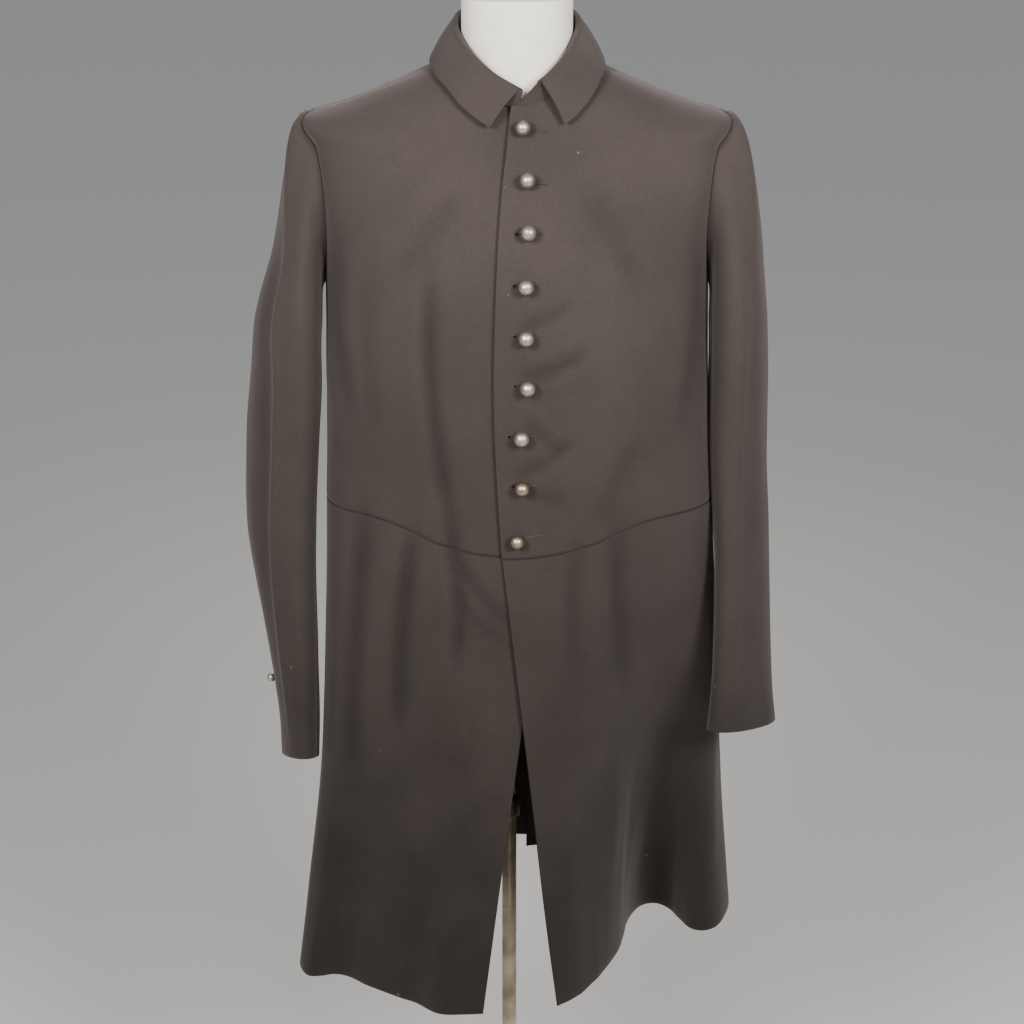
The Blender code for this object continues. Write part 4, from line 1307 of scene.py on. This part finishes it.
class ButtonsOperator(PieceOperator):
    """The ball buttons of the front and the cuffs"""

    bl_idname = "frock_coat.buttons"
    bl_label = "Buttons"

    def build(self, sizes, colours):
        look = (0.7, 0.36, 0.55, 260.0, 1.0)
        pewter = worn("Pewter", colours.pewter, (0.20, 0.18, 0.16), *look)
        bronze = worn("Bronze", colours.bronze, (0.15, 0.12, 0.08), *look)
        for number, (x, height, radius) in enumerate(BUTTONS, 1):
            spot, normal = front_spot(x, height)
            slot_name, metal = ("bronze", bronze) if number >= BRONZE_FROM else ("pewter", pewter)
            self.add(f"front_button_{number}", f"button_{number}", slot_name, metal, radius,
                     spot, normal, sizes.dimple)
        for side, sections, sign in (("left", SLEEVE_LEFT, 1), ("right", SLEEVE_RIGHT, -1)):
            above, around = CUFF_BUTTONS[side]
            height = sections[0][0] + above
            spot = sleeve_point(sections, height, around)
            ahead = sleeve_point(sections, height, around - 4)
            ahead -= sleeve_point(sections, height, around + 4)
            down = sleeve_point(sections, height - 0.01, around) - spot
            normal = ahead.cross(down).normalized()
            spot.x *= sign
            normal.x *= sign
            self.add(f"{side}_cuff_button", f"cuff_button_{side}", "pewter", pewter,
                     CUFF_BUTTON_RADIUS, spot, normal, 0.0)

    def add(self, name, node_name, slot_name, metal, radius, spot, normal, dimple):
        shape = button_shape(radius, dimple)
        turn = normal.to_track_quat("Z", "Y").to_matrix().to_4x4()
        place = Matrix.Translation(spot + normal * BUTTON_CLEARANCE) @ turn
        bmesh.ops.transform(shape, matrix=place, verts=shape.verts[:])
        keep(shape, name, [metal], [node_name])


class ButtonholesOperator(PieceOperator):
    """The worked keyhole buttonholes in the left front"""

    bl_idname = "frock_coat.buttonholes"
    bl_label = "Buttonholes"

    def build(self, sizes, colours):
        thread = group_material(
            "Buttonhole thread", wool_group,
            {
                "Colour": rgba(colours.thread),
                "Shade Colour": rgba(colours.thread),
                "Lint Colour": rgba(colours.thread),
                "Mottle": 0.5,
                "Lint": 0.0,
            },
            0.4, 0.0003, {"Specular IOR Level": 0.3},
        )
        for number, (button, hole) in enumerate(zip(BUTTONS, BUTTONHOLES), 1):
            x, height, _ = button
            start, end, slope = hole
            # The eyelet shows only where the coat pulls on it.
            eyelet = sizes.eyelet if start < -0.01 else 0.0
            shape = bmesh.new()
            self.slit(shape, sizes, (end - start) / 2, eyelet)
            self.thread_ring(shape, sizes, (end - start) / 2, eyelet)
            middle = x + (start + end) / 2
            for vert in shape.verts:
                along, side, lift = vert.co
                where = height + slope * (middle + along - x) + side
                spot, normal = front_spot(middle + along, where)
                far = math.hypot(middle + along - x, where - height) / DIMPLE_RADIUS
                vert.co = spot + normal * (lift - sizes.dimple * math.exp(-far * far))
            keep(shape, f"buttonhole_{number}", [thread, lining(colours)], [])

    def slit(self, shape, sizes, half, eyelet):
        """Painted shade in the opening: a narrow near-black slot with a round end."""
        spots = [(0.0, half - 0.0010, 0.0008)]
        if eyelet:
            spots.append((-half + eyelet, eyelet * 0.9, eyelet * 0.8))
        for middle, long, wide in spots:
            made = bmesh.ops.create_cone(shape, cap_ends=True, segments=24, radius1=1.0,
                                         radius2=1.0, depth=0.0009)["verts"]
            bmesh.ops.scale(shape, verts=made, vec=(long, wide, 1.0))
            bmesh.ops.translate(shape, verts=made, vec=(middle, 0.0, 0.0))
        # The slot takes the near-black material, as painted shade in the opening.
        for face in shape.faces:
            face.material_index = 1

    def thread_ring(self, shape, sizes, half, eyelet):
        """The stitched edge, which runs along one side of the slot and back on the other."""
        verts = bmesh.ops.create_circle(shape, segments=8, radius=sizes.thread)["verts"]
        bmesh.ops.rotate(shape, verts=verts, cent=(0, 0, 0),
                         matrix=Matrix.Rotation(math.radians(90), 3, "X"))
        bmesh.ops.translate(shape, verts=verts, vec=(1.0, 0.0, 0.0))
        spun = bmesh.ops.spin(
            shape, geom=verts + list({e for v in verts for e in v.link_edges}),
            cent=(0, 0, 0), axis=(0, 0, 1), angle=2 * math.pi, steps=120, use_merge=True)
        faces = {face for item in spun["geom_last"] if isinstance(item, bmesh.types.BMVert)
                 for face in item.link_faces}
        ring = self.connected(faces)
        bmesh.ops.recalc_face_normals(shape, faces=list(ring))
        for vert in {vert for face in ring for vert in face.verts}:
            around = math.atan2(vert.co.y, vert.co.x)
            out = math.hypot(vert.co.x, vert.co.y) - 1.0
            stitch = 1.0 + 0.2 * math.sin(around * 52)
            reach = math.copysign(abs(math.cos(around)) ** 0.35, math.cos(around))
            narrow = math.copysign(abs(math.sin(around)) ** 0.6, math.sin(around))
            past = ((half - eyelet) + half * reach) / (eyelet or 1.0)
            round_end = eyelet * math.exp(-past**2)
            vert.co.x = (half + out) * reach
            vert.co.y = (sizes.thread * 1.15 + round_end + out * stitch) * narrow
            vert.co.z = vert.co.z * stitch + 0.0002

    def connected(self, faces):
        """The faces with all that hang together with them."""
        found = set(faces)
        waiting = list(faces)
        while waiting:
            for edge in waiting.pop().edges:
                for face in edge.link_faces:
                    if face not in found:
                        found.add(face)
                        waiting.append(face)
        return found


class FormOperator(PieceOperator):
    """The closed torso and neck under the coat"""

    bl_idname = "frock_coat.form"
    bl_label = "Dress form"

    def build(self, sizes, colours):
        around = 96
        levels = [mix(FORM[0][0], FORM[-1][0], i / 90) for i in range(91)]
        shape = bmesh.new()
        bmesh.ops.create_grid(shape, x_segments=around, y_segments=len(levels) - 1, size=1.0)
        shape.verts.ensure_lookup_table()
        for i, vert in enumerate(shape.verts):
            angle = 360.0 * (i % (around + 1)) / around
            vert.co = ring_point(FORM, angle, levels[i // (around + 1)])
        bmesh.ops.remove_doubles(shape, verts=shape.verts[:], dist=1e-6)
        rims = [edge for edge in shape.edges if edge.is_boundary]
        caps = bmesh.ops.holes_fill(shape, edges=rims, sides=0)["faces"]
        bmesh.ops.recalc_face_normals(shape, faces=shape.faces[:])
        top = [edge for face in caps for edge in face.edges]
        bmesh.ops.bevel(shape, geom=top, offset=0.0022, segments=4, profile=0.5,
                        affect="EDGES", material=-1)
        skin = worn("Form cover", colours.form, (0.62, 0.58, 0.52), 0.25, 0.55, 0.7, 30.0, 0.0)
        keep(shape, "form", [skin], ["dress_form"])


class StandOperator(PieceOperator):
    """The round base, the two-part pole and its ring"""

    bl_idname = "frock_coat.stand"
    bl_label = "Stand"

    def build(self, sizes, colours):
        dark = (0.05, 0.03, 0.02)
        tan = worn("Tan pole", colours.pole, (0.20, 0.13, 0.09), 0.7, 0.32, 0.5, 40.0, 0.35)
        brown = worn("Brown metal", colours.ring, dark, 0.6, 0.35, 0.55, 40.0, 0.35)
        turned("foot", brown, ["base"], (
            (0.0, 0.044), (0.020, 0.044), (0.023, 0.0425), (0.024, 0.040), (0.026, 0.026),
            (0.028, 0.0235), (0.040, 0.022), (0.110, 0.0205), (0.180, 0.0165), (0.192, 0.0138),
            (0.198, 0.0095), (0.200, 0.004), (0.1995, 0.001), (0.1985, 0.0), (0.0, 0.0),
        ), 96)
        for name, slot_name, paint, node_name, radius, low, high in (
            ("low_pole", "tan_metal", tan, "lower_pole", 0.0078, 0.0440, 0.6098),
            ("ring", "brown_metal", brown, "pole_ring", 0.0115, 0.610, 0.630),
            ("high_pole", "brown_metal", brown, "upper_pole", 0.0066, 0.6302, 0.8798),
        ):
            soft = 0.0010
            turned(name, paint, [node_name], (
                (0.0, high), (radius - soft, high), (radius - soft * 0.3, high - soft * 0.3),
                (radius, high - soft), (radius, low + soft),
                (radius - soft * 0.3, low + soft * 0.3), (radius - soft, low), (0.0, low),
            ), 48)


class StageOperator(PieceOperator):
    """The pale floor, the soft lights and the camera"""

    bl_idname = "frock_coat.stage"
    bl_label = "Stage"

    def build(self, sizes, colours):
        shape = bmesh.new()
        bmesh.ops.create_grid(shape, x_segments=1, y_segments=1, size=FLOOR_HALF_SIZE)
        mesh = bpy.data.meshes.new("floor")
        shape.to_mesh(mesh)
        shape.free()
        floor = bpy.data.objects.new("floor", mesh)
        floor.location.z = FLOOR_LEVEL
        paint = bpy.data.materials.new("Pale floor")
        paint.use_nodes = True
        shader = paint.node_tree.nodes["Principled BSDF"]
        shader.inputs["Base Color"].default_value = rgba(colours.floor)
        shader.inputs["Roughness"].default_value = 0.8
        mesh.materials.append(paint)
        scene = bpy.context.scene
        scene.collection.objects.link(floor)

        world = bpy.data.worlds.new("Soft room")
        world.use_nodes = True
        sky = world.node_tree.nodes["Background"]
        sky.inputs["Color"].default_value = (0.93, 0.95, 1.0, 1.0)
        sky.inputs["Strength"].default_value = 0.45
        scene.world = world
        # name, place, what it faces, size, power, colour
        lamps = (
            ("left_box", (-1.25, -2.5, 2.3), (0.0, 0.0, 1.15), 0.9, 92.0, (1.0, 0.97, 0.94)),
            ("right_box", (1.35, -2.5, 2.3), (0.0, 0.0, 1.15), 0.9, 100.0, (1.0, 0.97, 0.94)),
            ("behind", (0.4, 2.4, 2.4), (0.0, 0.0, 1.1), 1.4, 12.0, (1.0, 0.98, 0.96)),
        )
        for name, place, target, size, power, colour in lamps:
            light = bpy.data.lights.new(name, "AREA")
            light.shape = "DISK"
            light.size = size
            light.energy = power
            light.color = colour
            lamp = bpy.data.objects.new(name, light)
            lamp.location = place
            toward = Vector(target) - Vector(place)
            lamp.rotation_euler = toward.to_track_quat("-Z", "Y").to_euler()
            scene.collection.objects.link(lamp)

        lens = bpy.data.cameras.new("camera")
        lens.sensor_width = SENSOR_WIDTH
        lens.lens = FOCAL_LENGTH
        camera = bpy.data.objects.new("camera", lens)
        camera.location = CAMERA_PLACE
        camera.rotation_euler = CAMERA_TURN
        scene.collection.objects.link(camera)
        scene.camera = camera


class FrockCoatPanel(bpy.types.Panel):
    """The pieces of the coat, in the order in which they are made"""

    bl_idname = "VIEW3D_PT_frock_coat"
    bl_label = "Frock Coat"
    bl_space_type = "VIEW_3D"
    bl_region_type = "UI"
    bl_category = "Frock Coat"

    def draw(self, context):
        layout = self.layout
        for group in (context.scene.frock_coat_sizes, context.scene.frock_coat_colours):
            for name in group.__annotations__:
                layout.prop(group, name)
        for piece in PIECES:
            layout.operator(piece.bl_idname)


PIECES = (
    FormOperator,
    StandOperator,
    FrontsOperator,
    BacksOperator,
    SkirtsOperator,
    SleevesOperator,
    CollarOperator,
    ButtonholesOperator,
    ButtonsOperator,
    StageOperator,
)
CLASSES = (FrockCoatSizes, FrockCoatColours, *PIECES, FrockCoatPanel)


def register():
    for one in CLASSES:
        bpy.utils.register_class(one)
    bpy.types.Scene.frock_coat_sizes = bpy.props.PointerProperty(type=FrockCoatSizes)
    bpy.types.Scene.frock_coat_colours = bpy.props.PointerProperty(type=FrockCoatColours)


def unregister():
    del bpy.types.Scene.frock_coat_colours
    del bpy.types.Scene.frock_coat_sizes
    for one in reversed(CLASSES):
        bpy.utils.unregister_class(one)


def main():
    register()
    for piece in PIECES:
        getattr(bpy.ops.frock_coat, piece.bl_idname.split(".")[1])()


if __name__ == "__main__":
    main()
